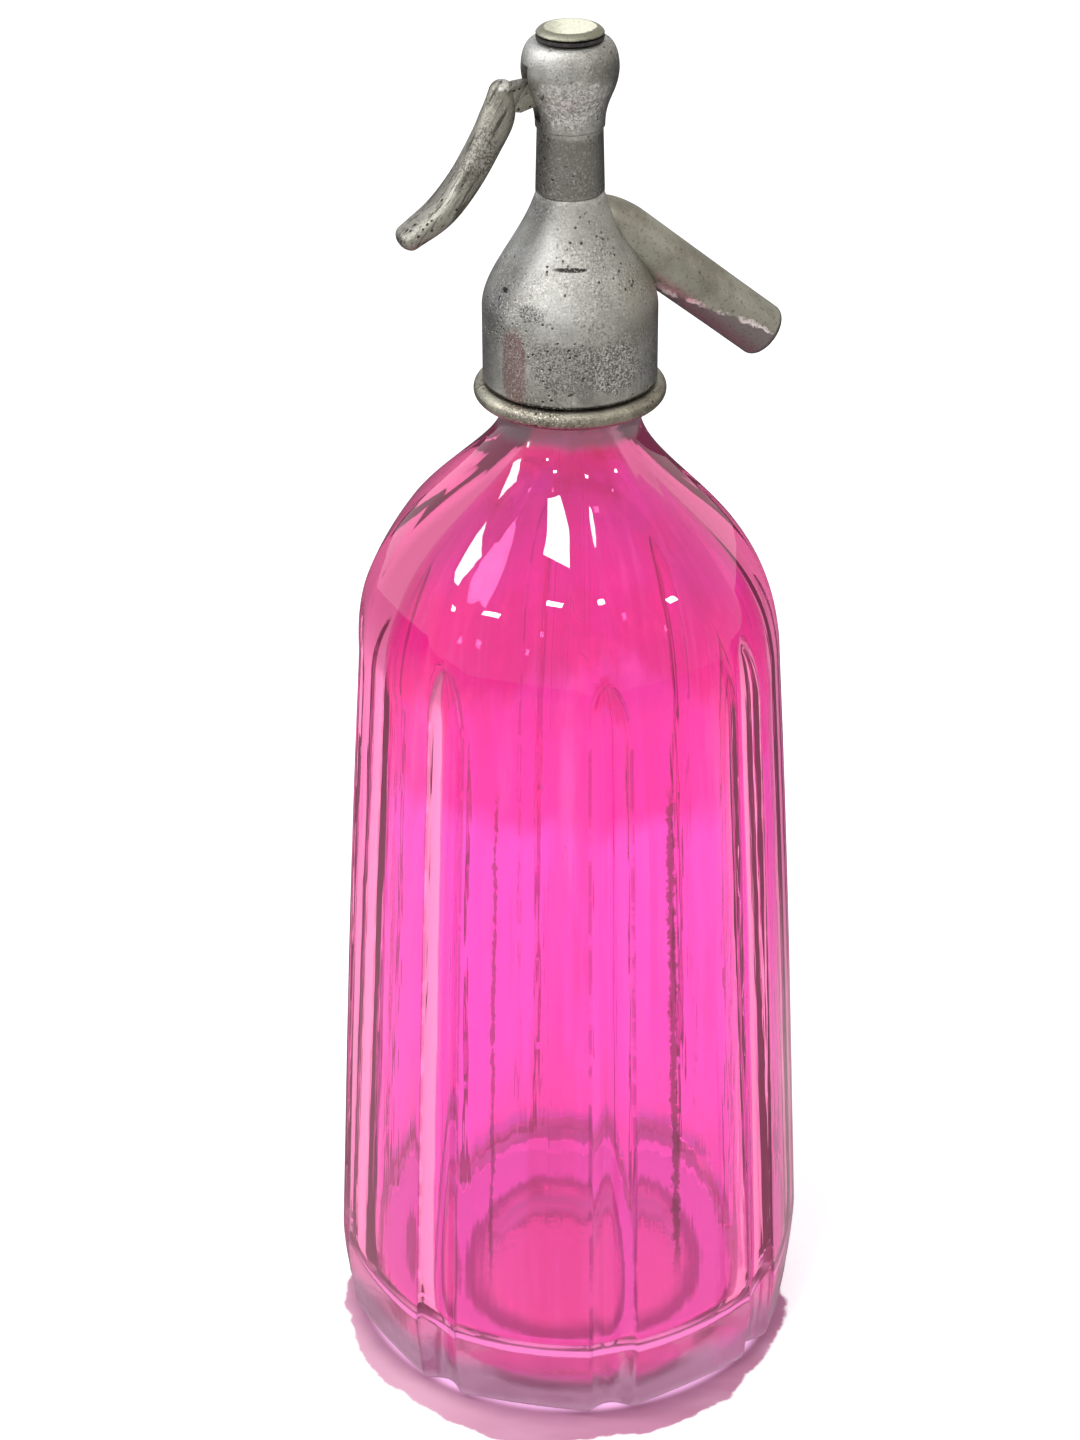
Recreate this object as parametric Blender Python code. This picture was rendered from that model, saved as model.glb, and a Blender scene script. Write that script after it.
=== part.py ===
"""Soda siphon: fluted glass bottle, split collar, valve head, thumb lever and spout.

Metres, +Z up. The origin is the centre of the bottle's foot, and the bottle stands on Z = 0.
The lever points away from the spout, and both lie in one upright plane through the axis.
"""

import math

import bmesh
import bpy
from mathutils import Vector

# Running gap between pieces that touch, and how far a cutter passes the wall that it cuts
GAP = 0.0003
OVERRUN = 0.002

# Bottle body: heights and corner radii
BOTTLE_HEIGHT = 0.2555
FOOT_RADIUS = 0.0511
HEEL_HEIGHT = 0.0060
HEEL_RADIUS = 0.0549
BELLY_HEIGHT = 0.0200
BELLY_RADIUS = 0.0560
BREAST_RADIUS = 0.0473
BREAST_LEAN = -0.0019
SHOULDER_RISE = 0.0545
NECK_FOOT_RADIUS = 0.0156
WALL = 0.0060
FLOOR_THICKNESS = 0.0130
FLOOR_FILLET = 0.0090
REST_RING_WIDTH = 0.0246
PUNT_DEPTH = 0.0046

# Bottle neck: plain neck, bead at the lip and bore
NECK_LENGTH = 0.0230
NECK_RADIUS = 0.0143
NECK_FLARE = 0.0035
BEAD_RADIUS = 0.0166
BEAD_HEIGHT = 0.0045
BEAD_ROUND = 0.0012
NECK_BORE_RADIUS = 0.0088

# Flutes: wide panels alternate with narrow grooves
PANEL_COUNT = 8
GROOVE_AZIMUTH = math.radians(-80)
GROOVE_HALF_ANGLE = math.radians(6.0)
GROOVE_DEPTH = 0.0024
GROOVE_ARCH_HEIGHT = 0.0160
GROOVE_TOP_DROP = 0.0040
BODY_FLAT_SHARE = 0.70
BREAST_FLAT_SHARE = 0.75

# Seals and tube holder between the lip and the head
NECK_GASKET_THICKNESS = 0.0016
GASKET_RADIUS = 0.0158
NECK_GASKET_BORE_RADIUS = 0.0095
FERRULE_FLANGE_THICKNESS = 0.0018
FERRULE_STEM_RADIUS = 0.0070
FERRULE_STEM_DEPTH = 0.0137
FERRULE_BOSS_RADIUS = 0.0042
FERRULE_BOSS_HEIGHT = 0.0035
FERRULE_WEB = 0.0020
FERRULE_WEB_DEPTH = 0.0027
HEAD_GASKET_THICKNESS = 0.0012
HEAD_GASKET_BORE_RADIUS = 0.0060
TUBE_RADIUS = 0.0036
TUBE_BORE_RADIUS = 0.0024
TUBE_FLOOR_CLEARANCE = 0.0050
SLEEVE_THICKNESS = 0.0011

# Valve seat, rubber disc, its holder and the rod
SEAT_RADIUS = 0.0028
SEAT_BORE_RADIUS = 0.0016
SEAT_FLANGE_RADIUS = 0.0040
SEAT_FLANGE_THICKNESS = 0.0010
SEAT_LIP_RADIUS = 0.0022
SEAT_LIP_HEIGHT = 0.0012
DISC_RADIUS = 0.0030
DISC_THICKNESS = 0.0018
HOLDER_RADIUS = 0.0037
HOLDER_RIM_DEPTH = 0.0011
HOLDER_WEB = 0.0012
HOLDER_SOCKET_DEPTH = 0.0021
ROD_RADIUS = 0.0016
ROD_HEAD_RADIUS = 0.0044
ROD_HEAD_HEIGHT = 0.0079
ROD_HEAD_DROP = 0.0042
ROD_SPIGOT_RADIUS = 0.0018
ROD_SPIGOT_HEIGHT = 0.0021

# Head casting: threaded skirt, bell, neck and slotted ball
SKIRT_RADIUS = 0.0188
SKIRT_BORE_RADIUS = 0.0172
SKIRT_DEPTH = 0.0183
SKIRT_EDGE = 0.0004
BELL_FOOT_DROP = 0.0018
BELL_HEIGHT = 0.0250
HEAD_NECK_RADIUS = 0.0073
HEAD_NECK_HEIGHT = 0.0133
BALL_RADIUS = 0.0102
BALL_RISE = 0.0135
BALL_CROWN_RISE = 0.0060
BALL_CROWN_RADIUS = 0.0079
TURNED_LINE_DEPTH = 0.00035
TURNED_LINE_WIDTH = 0.0007
CHAMBER_RADIUS = 0.0046
CHAMBER_HEIGHT = 0.0237
CHAMBER_WEB = 0.0012
ROD_HOLE_RADIUS = 0.0022
HEAD_BORE_RADIUS = 0.0052

# Rod packing in the head's neck
CUP_HEIGHT = 0.0028
CUP_HOLLOW_DEPTH = 0.0010
CUP_LIP = 0.0006
GLAND_HEIGHT = 0.0038
GLAND_SLOT_WIDTH = 0.0012
GLAND_SLOT_DEPTH = 0.0010

# Collar: a ring in two halves that grips the neck under the bead
COLLAR_FLANGE_RADIUS = 0.0208
COLLAR_FLANGE_THICKNESS = 0.0041
COLLAR_PACKING_THICKNESS = 0.0017
COLLAR_SPLIT_AZIMUTH = math.radians(12)

# Spout: soldered on the bell, pointing down
SPOUT_AZIMUTH = math.radians(20)
SPOUT_DROP_ANGLE = math.radians(39.5)
SPOUT_RADIUS = 0.0060
SPOUT_BORE_RADIUS = 0.0042
SPOUT_BORE_START = 0.0200
PASSAGE_RADIUS = 0.0034
SPOUT_LENGTH = 0.0588
SPOUT_CROSSING_HEIGHT = 0.0227
SPOUT_ROOT_RADIUS = 0.0041
SPOUT_ROOT_START = 0.0070
SPOUT_SWELL_RADIUS = 0.0062
SPOUT_SWELL_START = 0.0160
SPOUT_END_ROUND = 0.0014
SPIGOT_RADIUS = 0.0046
SPIGOT_START = 0.0101
PASSAGE_START = 0.0030

# Lever: pin, web with a nose, and the curved handle
PIVOT_RADIUS = 0.0073
PIVOT_RISE = 0.0094
PIN_RADIUS = 0.0010
WEB_THICKNESS = 0.0032
LEVER_BOSS_RADIUS = 0.0026
NOSE_TIP_RADIUS = 0.0011
NOSE_HALF_HEIGHT = 0.0008
LEVER_REACH = 0.0289
LEVER_DROP = 0.0273
LEVER_THICKNESS = 0.0074
LEVER_WIDTH = 0.0090
SLOT_RISE = 0.0058
SLOT_FALL = 0.0064
NOTCH_FALL = 0.0034
NOTCH_LEDGE = 0.0016

# Spring over the rod, its washer, and the screw cap
SPRING_WASHER_THICKNESS = 0.0006
SPRING_WIRE_RADIUS = 0.00035
SPRING_RADIUS = 0.0032
SPRING_TURNS = 4.5
CAP_WASHER_THICKNESS = 0.0007
CAP_RADIUS = 0.0071
CAP_TOP_RADIUS = 0.0056
CAP_HEAD_HEIGHT = 0.0014
CAP_ROOF = 0.0011
CAP_PLUG_DEPTH = 0.0041
CAP_HOLLOW_RADIUS = 0.00395

# Facets around a turned piece
FINE_STEPS = 36
SPOUT_STEPS = 24
SMALL_STEPS = 20
COIL_STEPS = 9

# Handles of the curves, as shares of their rise and of their change of radius
BREAST_HANDLE_SHARES = ((-0.02, 0.56), (0.80, 0.735))
INNER_HANDLE_SHARES = ((0.02, 0.47), (0.90, 0.66))
BELL_HANDLE_SHARES = ((0.0, 0.28), (0.74, 0.61))
BALL_HANDLE_SHARES = ((0.02, 0.50), (0.90, 0.57))
CROWN_HANDLE_SHARES = ((0.0, 0.48), (0.35, 0.88))
SPOUT_HANDLE_SHARES = ((0.40, 0.12), (0.95, 0.55))
CAP_HANDLE_SHARES = ((0.30, 0.50), (0.80, 0.90))

# Around one pitch of the bottle: places in the groove and in the panel, as shares of each
GROOVE_SHARES = (-1.0, -0.4, 0.4)
PANEL_SHARES = (0.0, 0.10, 0.36, 0.64, 0.90)

# Up the bottle: places on the heel and on the grooves' arches, as shares of their heights
HEEL_SHARES = (0.0, 0.12, 0.45, 1.0)
ARCH_SHARES = (0.0, 0.45, 0.75, 0.93)
BODY_STEPS = 4
SHOULDER_STEPS = 9
INNER_SHOULDER_STEPS = 7

# Bottle: linear and cubic parts of the body's taper, the grooves' least width, and the punt's
# middle as shares of its radius and depth
TAPER_SHARES = (0.86, 0.14)
GROOVE_LEAST_SHARE = 0.30
PUNT_MIDDLE_SHARES = (0.62, 0.76)

# Lever web: inner corner as shares of the pivot's radius and of the boss, then its depth and
# rise where it meets the handle, and the rise beside the boss, as shares of the boss
WEB_CORNER_SHARES = (0.55, 1.45)
WEB_ROOT_SHARES = (1.20, 0.46)
WEB_CREST_SHARE = 0.85

# Lever pin: half its length, as a share of the ball's half chord there
PIN_CHORD_SHARE = 0.775

# Lever handle: centre as shares of reach and drop, then shares of thickness and width
HANDLE_SHARES = (
    (0.266, -0.020, 0.74, 0.52),
    (0.301, 0.168, 1.00, 0.72),
    (0.398, 0.370, 0.90, 0.86),
    (0.554, 0.634, 0.79, 0.95),
    (0.745, 0.862, 0.69, 1.00),
    (0.985, 1.030, 0.60, 0.90),
)
HANDLE_STEPS = 3
HANDLE_SIDES = 14
HANDLE_END_SHARES = ((0.0, 1.0), (0.55, 0.84), (0.88, 0.50))

# Places along the stack, from the foot up
NECK_FOOT_Z = BOTTLE_HEIGHT - NECK_LENGTH
BREAST_Z = NECK_FOOT_Z - SHOULDER_RISE
GROOVE_TOP_Z = BREAST_Z - GROOVE_TOP_DROP
NECK_GASKET_Z = BOTTLE_HEIGHT + GAP
FERRULE_Z = NECK_GASKET_Z + NECK_GASKET_THICKNESS + GAP
HEAD_GASKET_Z = FERRULE_Z + FERRULE_FLANGE_THICKNESS + GAP
CEILING_Z = HEAD_GASKET_Z + HEAD_GASKET_THICKNESS + GAP
SKIRT_BOTTOM_Z = CEILING_Z - SKIRT_DEPTH
BELL_FOOT_Z = CEILING_Z - BELL_FOOT_DROP
HEAD_NECK_Z = BELL_FOOT_Z + BELL_HEIGHT
BALL_FOOT_Z = HEAD_NECK_Z + HEAD_NECK_HEIGHT
PIVOT_Z = BALL_FOOT_Z + PIVOT_RISE
BALL_WAIST_Z = BALL_FOOT_Z + BALL_RISE
HEAD_TOP_Z = BALL_WAIST_Z + BALL_CROWN_RISE
CHAMBER_TOP_Z = CEILING_Z + CHAMBER_HEIGHT
PACKING_FLOOR_Z = CHAMBER_TOP_Z + CHAMBER_WEB
BEAD_Z = BOTTLE_HEIGHT - BEAD_HEIGHT
COLLAR_TOP_Z = BEAD_Z - 2 * GAP - COLLAR_PACKING_THICKNESS
FLANGE_TOP_Z = SKIRT_BOTTOM_Z - GAP
BOSS_TOP_Z = FERRULE_Z + FERRULE_FLANGE_THICKNESS + FERRULE_BOSS_HEIGHT
SEAT_TOP_Z = BOSS_TOP_Z + GAP + SEAT_FLANGE_THICKNESS + SEAT_LIP_HEIGHT
DISC_Z = SEAT_TOP_Z + GAP
DISC_TOP_Z = DISC_Z + DISC_THICKNESS
HOLDER_SOCKET_Z = DISC_TOP_Z + GAP + HOLDER_WEB
ROD_HEAD_Z = PIVOT_Z - ROD_HEAD_DROP
ROD_HEAD_TOP_Z = ROD_HEAD_Z + ROD_HEAD_HEIGHT
SPRING_WASHER_Z = ROD_HEAD_TOP_Z + GAP
CAP_Z = HEAD_TOP_Z + CAP_WASHER_THICKNESS + 2 * GAP
CAP_TOP_Z = CAP_Z + CAP_HEAD_HEIGHT
CAP_HOLLOW_Z = CAP_TOP_Z - CAP_ROOF
SPRING_FOOT_Z = SPRING_WASHER_Z + SPRING_WASHER_THICKNESS + GAP
SPRING_TOP_Z = CAP_HOLLOW_Z - GAP
FERRULE_BORE_RADIUS = TUBE_RADIUS + SLEEVE_THICKNESS + 2 * GAP
FERRULE_WEB_Z = FERRULE_Z - FERRULE_WEB_DEPTH
TUBE_TOP_Z = FERRULE_WEB_Z - GAP
LEVER_AZIMUTH = SPOUT_AZIMUTH + math.pi
SLOT_WIDTH = WEB_THICKNESS + 2 * GAP

# Colour, roughness and metallic value of each finish
FINISHES = {
    "tinted_glass": ((0.86, 0.10, 0.55), 0.05, 0.0),
    "clear_glass": ((0.85, 0.83, 0.86), 0.05, 0.0),
    "worn_pewter": ((0.42, 0.42, 0.40), 0.38, 1.0),
    "collar_metal": ((0.40, 0.38, 0.32), 0.42, 1.0),
    "lever_metal": ((0.33, 0.31, 0.27), 0.42, 1.0),
    "cap_metal": ((0.72, 0.70, 0.58), 0.45, 1.0),
    "valve_brass": ((0.62, 0.47, 0.22), 0.35, 1.0),
    "spring_steel": ((0.50, 0.50, 0.50), 0.30, 1.0),
    "seal_rubber": ((0.05, 0.045, 0.04), 0.80, 0.0),
    "cork_packing": ((0.42, 0.28, 0.16), 0.90, 0.0),
}


def clear_scene():
    """Remove every object of the open file."""
    for obj in list(bpy.data.objects):
        bpy.data.objects.remove(obj, do_unlink=True)


def material(name, finish):
    """Return a new material with the colour, roughness and metallic value of a finish."""
    colour, roughness, metallic = FINISHES[finish]
    made = bpy.data.materials.new(name + "_" + finish)
    made.use_nodes = True
    shader = made.node_tree.nodes["Principled BSDF"]
    shader.inputs["Base Color"].default_value = (*colour, 1.0)
    shader.inputs["Roughness"].default_value = roughness
    shader.inputs["Metallic"].default_value = metallic
    made.diffuse_color = (*colour, 1.0)
    return made


def from_bmesh(name, bm, finish):
    """Close a bmesh into a new object with outward faces and smooth shading."""
    bmesh.ops.remove_doubles(bm, verts=bm.verts, dist=GAP / 100)
    bmesh.ops.recalc_face_normals(bm, faces=bm.faces)
    mesh = bpy.data.meshes.new(name)
    bm.to_mesh(mesh)
    bm.free()
    mesh.shade_smooth()
    mesh.set_sharp_from_angle(angle=math.radians(35))
    obj = bpy.data.objects.new(name, mesh)
    obj.data.materials.append(material(name, finish))
    bpy.context.scene.collection.objects.link(obj)
    return obj


def turned(name, profile, finish, steps=SMALL_STEPS):
    """Turn a profile of (radius, z) points about the Z axis.

    The profile is a closed loop, or it starts and ends on the axis.
    """
    bm = bmesh.new()
    verts = [bm.verts.new((radius, 0.0, z)) for radius, z in profile]
    pairs = zip(verts, verts[1:] + verts[:1])
    edges = [bm.edges.new(pair) for pair in pairs if pair[0].co.x + pair[1].co.x > 0.0]
    bmesh.ops.spin(
        bm,
        geom=verts + edges,
        axis=(0.0, 0.0, 1.0),
        cent=(0.0, 0.0, 0.0),
        angle=math.tau,
        steps=steps,
        use_merge=True,
    )
    return from_bmesh(name, bm, finish)


def prism(name, outline, thickness, finish):
    """Extrude an outline of (x, z) points to both sides of the XZ plane."""
    bm = bmesh.new()
    verts = [bm.verts.new((x, -thickness / 2, z)) for x, z in outline]
    face = bm.faces.new(verts)
    grown = bmesh.ops.extrude_face_region(bm, geom=[face])
    moved = [item for item in grown["geom"] if isinstance(item, bmesh.types.BMVert)]
    bmesh.ops.translate(bm, vec=(0.0, thickness, 0.0), verts=moved)
    return from_bmesh(name, bm, finish)


def lofted(name, rings, finish):
    """Join rings of equal point counts, with a point or a face at each end."""
    bm = bmesh.new()
    made = [[bm.verts.new(point) for point in ring] for ring in rings]
    for lower, upper in zip(made, made[1:]):
        if len(lower) == 1 or len(upper) == 1:
            tip = lower[0] if len(lower) == 1 else upper[0]
            ring = upper if len(lower) == 1 else lower
            for near, far in zip(ring, ring[1:] + ring[:1]):
                bm.faces.new((tip, near, far))
            continue
        corners = zip(lower, lower[1:] + lower[:1], upper[1:] + upper[:1], upper)
        for corner in corners:
            bm.faces.new(corner)
    return from_bmesh(name, bm, finish)


def place(obj, azimuth, radius=0.0, height=0.0):
    """Turn an object to an azimuth about Z and stand it at a radius and a height there."""
    obj.rotation_euler = (0.0, 0.0, azimuth)
    obj.location = (radius * math.cos(azimuth), radius * math.sin(azimuth), height)


def combine(obj, other, operation):
    """Add a Boolean by a helper object, which is left out of the finished assembly."""
    modifier = obj.modifiers.new(operation.lower() + "_" + other.name, "BOOLEAN")
    modifier.operation = operation
    modifier.object = other
    other.hide_render = True
    other.display_type = "WIRE"


def bezier(start, end, handle_shares, steps):
    """Points of a curve from start to end, both (radius, z), leaving out the start."""
    change = end[0] - start[0]
    rise = end[1] - start[1]
    first, second = [
        (start[0] + change * across, start[1] + rise * along) for across, along in handle_shares
    ]
    points = []
    for step in range(1, steps + 1):
        t = step / steps
        weights = ((1 - t) ** 3, 3 * t * (1 - t) ** 2, 3 * t * t * (1 - t), t**3)
        corners = (start, first, second, end)
        points.append(tuple(sum(w * p[axis] for w, p in zip(weights, corners)) for axis in (0, 1)))
    return points


def arc(centre, radius, start, end, steps):
    """Points of an arc about a (radius, z) centre, both ends included."""
    points = []
    for step in range(steps + 1):
        angle = start + (end - start) * step / steps
        points.append((centre[0] + radius * math.cos(angle), centre[1] + radius * math.sin(angle)))
    return points


def ring_band(inner, outer, bottom, top):
    """Closed profile of a flat ring."""
    return [(inner, bottom), (outer, bottom), (outer, top), (inner, top)]


def body_radius(z):
    """Corner radius of the bottle's body below its breast."""
    if z < HEEL_HEIGHT:
        swing = math.acos(1 - z / HEEL_HEIGHT)
        return FOOT_RADIUS + (HEEL_RADIUS - FOOT_RADIUS) * math.sin(swing)
    if z < BELLY_HEIGHT:
        share = (z - HEEL_HEIGHT) / (BELLY_HEIGHT - HEEL_HEIGHT)
        return HEEL_RADIUS + (BELLY_RADIUS - HEEL_RADIUS) * math.sin(share * math.pi / 2)
    share = (z - BELLY_HEIGHT) / (BREAST_Z - BELLY_HEIGHT)
    taper = TAPER_SHARES[0] * share + TAPER_SHARES[1] * share**3
    return BELLY_RADIUS + (BREAST_RADIUS - BELLY_RADIUS) * taper


def flute_angles(groove_half):
    """Angles around the bottle, groove by groove, with each one's place in the pitch."""
    pitch = math.tau / PANEL_COUNT
    panel = pitch - 2 * groove_half
    angles = []
    for index in range(PANEL_COUNT):
        centre = GROOVE_AZIMUTH + pitch * index
        angles += [(centre + share * groove_half, share, None) for share in GROOVE_SHARES]
        angles += [(centre + groove_half + share * panel, None, share) for share in PANEL_SHARES]
    return angles


def fluted_ring(z, radius, flat_share, groove_depth, groove_half, lean=0.0):
    """One section of the bottle's outside: flattened panels between rounded grooves."""
    panel_half = math.pi / PANEL_COUNT - groove_half
    ring = []
    for angle, in_groove, in_panel in flute_angles(groove_half):
        if in_panel is None:
            reach = radius - groove_depth * math.cos(in_groove * math.pi / 2)
        else:
            across = (2 * in_panel - 1) * panel_half
            chord = radius * math.cos(panel_half) / math.cos(across)
            reach = radius + (chord - radius) * flat_share
        ring.append((reach * math.cos(angle) + lean, reach * math.sin(angle), z))
    return ring


def round_ring(z, radius):
    """One round section that meets the fluted ones point for point."""
    angles = flute_angles(GROOVE_HALF_ANGLE)
    return [(radius * math.cos(angle), radius * math.sin(angle), z) for angle, _, _ in angles]


def bottle_outside():
    """Sections of the bottle from the foot to the neck, with flutes that fade at the breast."""
    heel = [HEEL_HEIGHT * share for share in HEEL_SHARES]
    arch_foot = GROOVE_TOP_Z - GROOVE_ARCH_HEIGHT
    lift = (arch_foot - BELLY_HEIGHT) / BODY_STEPS
    body = [BELLY_HEIGHT + lift * step for step in range(BODY_STEPS)]
    arch = [arch_foot + GROOVE_ARCH_HEIGHT * share for share in ARCH_SHARES]
    rings = []
    for z in heel + body + arch + [BREAST_Z]:
        climb = min(max((z - arch_foot) / GROOVE_ARCH_HEIGHT, 0.0), 1.0)
        narrowing = max(math.sqrt(1 - climb**2), GROOVE_LEAST_SHARE)
        depth = GROOVE_DEPTH * math.sqrt(1 - climb**2)
        half = GROOVE_HALF_ANGLE * narrowing
        rings.append(fluted_ring(z, body_radius(z), BODY_FLAT_SHARE, depth, half))
    breast = (BREAST_RADIUS, BREAST_Z)
    neck_foot = (NECK_FOOT_RADIUS, NECK_FOOT_Z)
    shoulder = bezier(breast, neck_foot, BREAST_HANDLE_SHARES, SHOULDER_STEPS)
    for step, (radius, z) in enumerate(shoulder):
        share = (step + 1) / len(shoulder)
        flat = BODY_FLAT_SHARE + (BREAST_FLAT_SHARE - BODY_FLAT_SHARE) * math.sin(share * math.pi)
        half = GROOVE_HALF_ANGLE * (GROOVE_LEAST_SHARE + (1 - GROOVE_LEAST_SHARE) * share)
        lean = BREAST_LEAN * math.sin(share * math.pi)
        rings.append(fluted_ring(z, radius, flat * (1 - share**4), 0.0, half, lean))
    return rings


def build_bottle():
    """The glass bottle: fluted outside, smooth inside, thick floor with a shallow punt."""
    neck_and_bead = [(NECK_RADIUS, NECK_FOOT_Z + NECK_FLARE), (NECK_RADIUS, BEAD_Z)]
    bead_low = (BEAD_RADIUS - BEAD_ROUND, BEAD_Z + BEAD_ROUND)
    bead_high = (BEAD_RADIUS - BEAD_ROUND, BOTTLE_HEIGHT - BEAD_ROUND)
    neck_and_bead += arc(bead_low, BEAD_ROUND, -math.pi / 2, 0.0, 2)
    neck_and_bead += arc(bead_high, BEAD_ROUND, 0.0, math.pi / 2, 2)
    bore = [(NECK_BORE_RADIUS, BOTTLE_HEIGHT), (NECK_BORE_RADIUS, NECK_FOOT_Z)]
    inner_breast = (BREAST_RADIUS - WALL, BREAST_Z - WALL / 2)
    shoulder = bezier(inner_breast, bore[1], INNER_HANDLE_SHARES, INNER_SHOULDER_STEPS)
    inside = bore + shoulder[-2::-1] + [inner_breast]
    fillet_top = FLOOR_THICKNESS + FLOOR_FILLET
    fillet_middle = (body_radius(fillet_top) - WALL - FLOOR_FILLET, fillet_top)
    inside += arc(fillet_middle, FLOOR_FILLET, 0.0, -math.pi / 2, 4)
    outside = bottle_outside()
    rings = [round_ring(z, radius) for radius, z in neck_and_bead + inside]
    rest_edge = FOOT_RADIUS - REST_RING_WIDTH
    across_share, depth_share = PUNT_MIDDLE_SHARES
    punt = [[(0.0, 0.0, PUNT_DEPTH)]]
    punt.append(round_ring(PUNT_DEPTH * depth_share, rest_edge * across_share))
    punt.append(round_ring(0.0, rest_edge))
    floor_middle = [[(0.0, 0.0, FLOOR_THICKNESS)]]
    return lofted("bottle", punt + outside + rings + floor_middle, "tinted_glass")


def build_tube_parts():
    """Dip tube, its sleeve, the ferrule that holds it, the seat and the two flat gaskets."""
    turned(
        "neck_gasket",
        ring_band(
            NECK_GASKET_BORE_RADIUS,
            GASKET_RADIUS,
            NECK_GASKET_Z,
            NECK_GASKET_Z + NECK_GASKET_THICKNESS,
        ),
        "seal_rubber",
    )
    turned(
        "head_gasket",
        ring_band(
            HEAD_GASKET_BORE_RADIUS,
            GASKET_RADIUS,
            HEAD_GASKET_Z,
            HEAD_GASKET_Z + HEAD_GASKET_THICKNESS,
        ),
        "seal_rubber",
    )
    stem_foot = FERRULE_Z - FERRULE_STEM_DEPTH
    flange_top = FERRULE_Z + FERRULE_FLANGE_THICKNESS
    socket_radius = SEAT_RADIUS + GAP
    socket_floor = FERRULE_WEB_Z + FERRULE_WEB
    ferrule = [
        (FERRULE_BORE_RADIUS, stem_foot),
        (FERRULE_STEM_RADIUS, stem_foot),
        (FERRULE_STEM_RADIUS, FERRULE_Z),
        (GASKET_RADIUS, FERRULE_Z),
        (GASKET_RADIUS, flange_top),
        (FERRULE_BOSS_RADIUS, flange_top),
        (FERRULE_BOSS_RADIUS, BOSS_TOP_Z),
        (socket_radius, BOSS_TOP_Z),
        (socket_radius, socket_floor),
        (TUBE_BORE_RADIUS, socket_floor),
        (TUBE_BORE_RADIUS, FERRULE_WEB_Z),
        (FERRULE_BORE_RADIUS, FERRULE_WEB_Z),
    ]
    turned("tube_ferrule", ferrule, "valve_brass")
    tube_foot = FLOOR_THICKNESS + TUBE_FLOOR_CLEARANCE
    tube = ring_band(TUBE_BORE_RADIUS, TUBE_RADIUS, tube_foot, TUBE_TOP_Z)
    turned("dip_tube", tube, "clear_glass")
    sleeve_bore = TUBE_RADIUS + GAP
    sleeve = ring_band(sleeve_bore, sleeve_bore + SLEEVE_THICKNESS, stem_foot + GAP, TUBE_TOP_Z)
    turned("tube_sleeve", sleeve, "seal_rubber")
    lip_z = SEAT_TOP_Z - SEAT_LIP_HEIGHT
    seat = [
        (SEAT_BORE_RADIUS, socket_floor + GAP),
        (SEAT_RADIUS, socket_floor + GAP),
        (SEAT_RADIUS, BOSS_TOP_Z + GAP),
        (SEAT_FLANGE_RADIUS, BOSS_TOP_Z + GAP),
        (SEAT_FLANGE_RADIUS, lip_z),
        (SEAT_RADIUS, lip_z),
        (SEAT_LIP_RADIUS, SEAT_TOP_Z),
        (SEAT_BORE_RADIUS, SEAT_TOP_Z),
    ]
    turned("valve_seat", seat, "valve_brass")


def collar_ring(name):
    """The whole collar ring: rounded flange below, threaded sleeve above."""
    inner = NECK_RADIUS + GAP
    sleeve = SKIRT_BORE_RADIUS - GAP
    half = COLLAR_FLANGE_THICKNESS / 2
    edge_middle = (COLLAR_FLANGE_RADIUS - half, FLANGE_TOP_Z - half)
    profile = [(inner, FLANGE_TOP_Z - COLLAR_FLANGE_THICKNESS)]
    profile += arc(edge_middle, half, -math.pi / 2, math.pi / 2, 6)
    profile += [(sleeve, FLANGE_TOP_Z), (sleeve, COLLAR_TOP_Z), (inner, COLLAR_TOP_Z)]
    return turned(name, profile, "collar_metal", FINE_STEPS)


def block(name, along, across, low, high):
    """A box cutter: its (start, end) along X and across Y, between two heights."""
    outline = [(along[0], low), (along[1], low), (along[1], high), (along[0], high)]
    box = prism(name, outline, across[1] - across[0], "collar_metal")
    for vert in box.data.vertices:
        vert.co.y += (across[0] + across[1]) / 2
    return box


def build_collar():
    """The two halves of the collar, parted across, and the packing above them."""
    reach = COLLAR_FLANGE_RADIUS + OVERRUN
    low = FLANGE_TOP_Z - COLLAR_FLANGE_THICKNESS - OVERRUN
    high = COLLAR_TOP_Z + OVERRUN
    front = collar_ring("collar_half_front")
    rear = collar_ring("collar_half_rear")
    rear_space = block("rear_space", (-reach, reach), (-GAP / 2, reach), low, high)
    front_space = block("front_space", (-reach, reach), (-reach, GAP / 2), low, high)
    for half, space in ((front, rear_space), (rear, front_space)):
        place(half, COLLAR_SPLIT_AZIMUTH)
        place(space, COLLAR_SPLIT_AZIMUTH)
        combine(half, space, "DIFFERENCE")
    packing = ring_band(NECK_RADIUS + GAP, BEAD_RADIUS, COLLAR_TOP_Z + GAP, BEAD_Z - GAP)
    turned("collar_packing", packing, "cork_packing")


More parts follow.
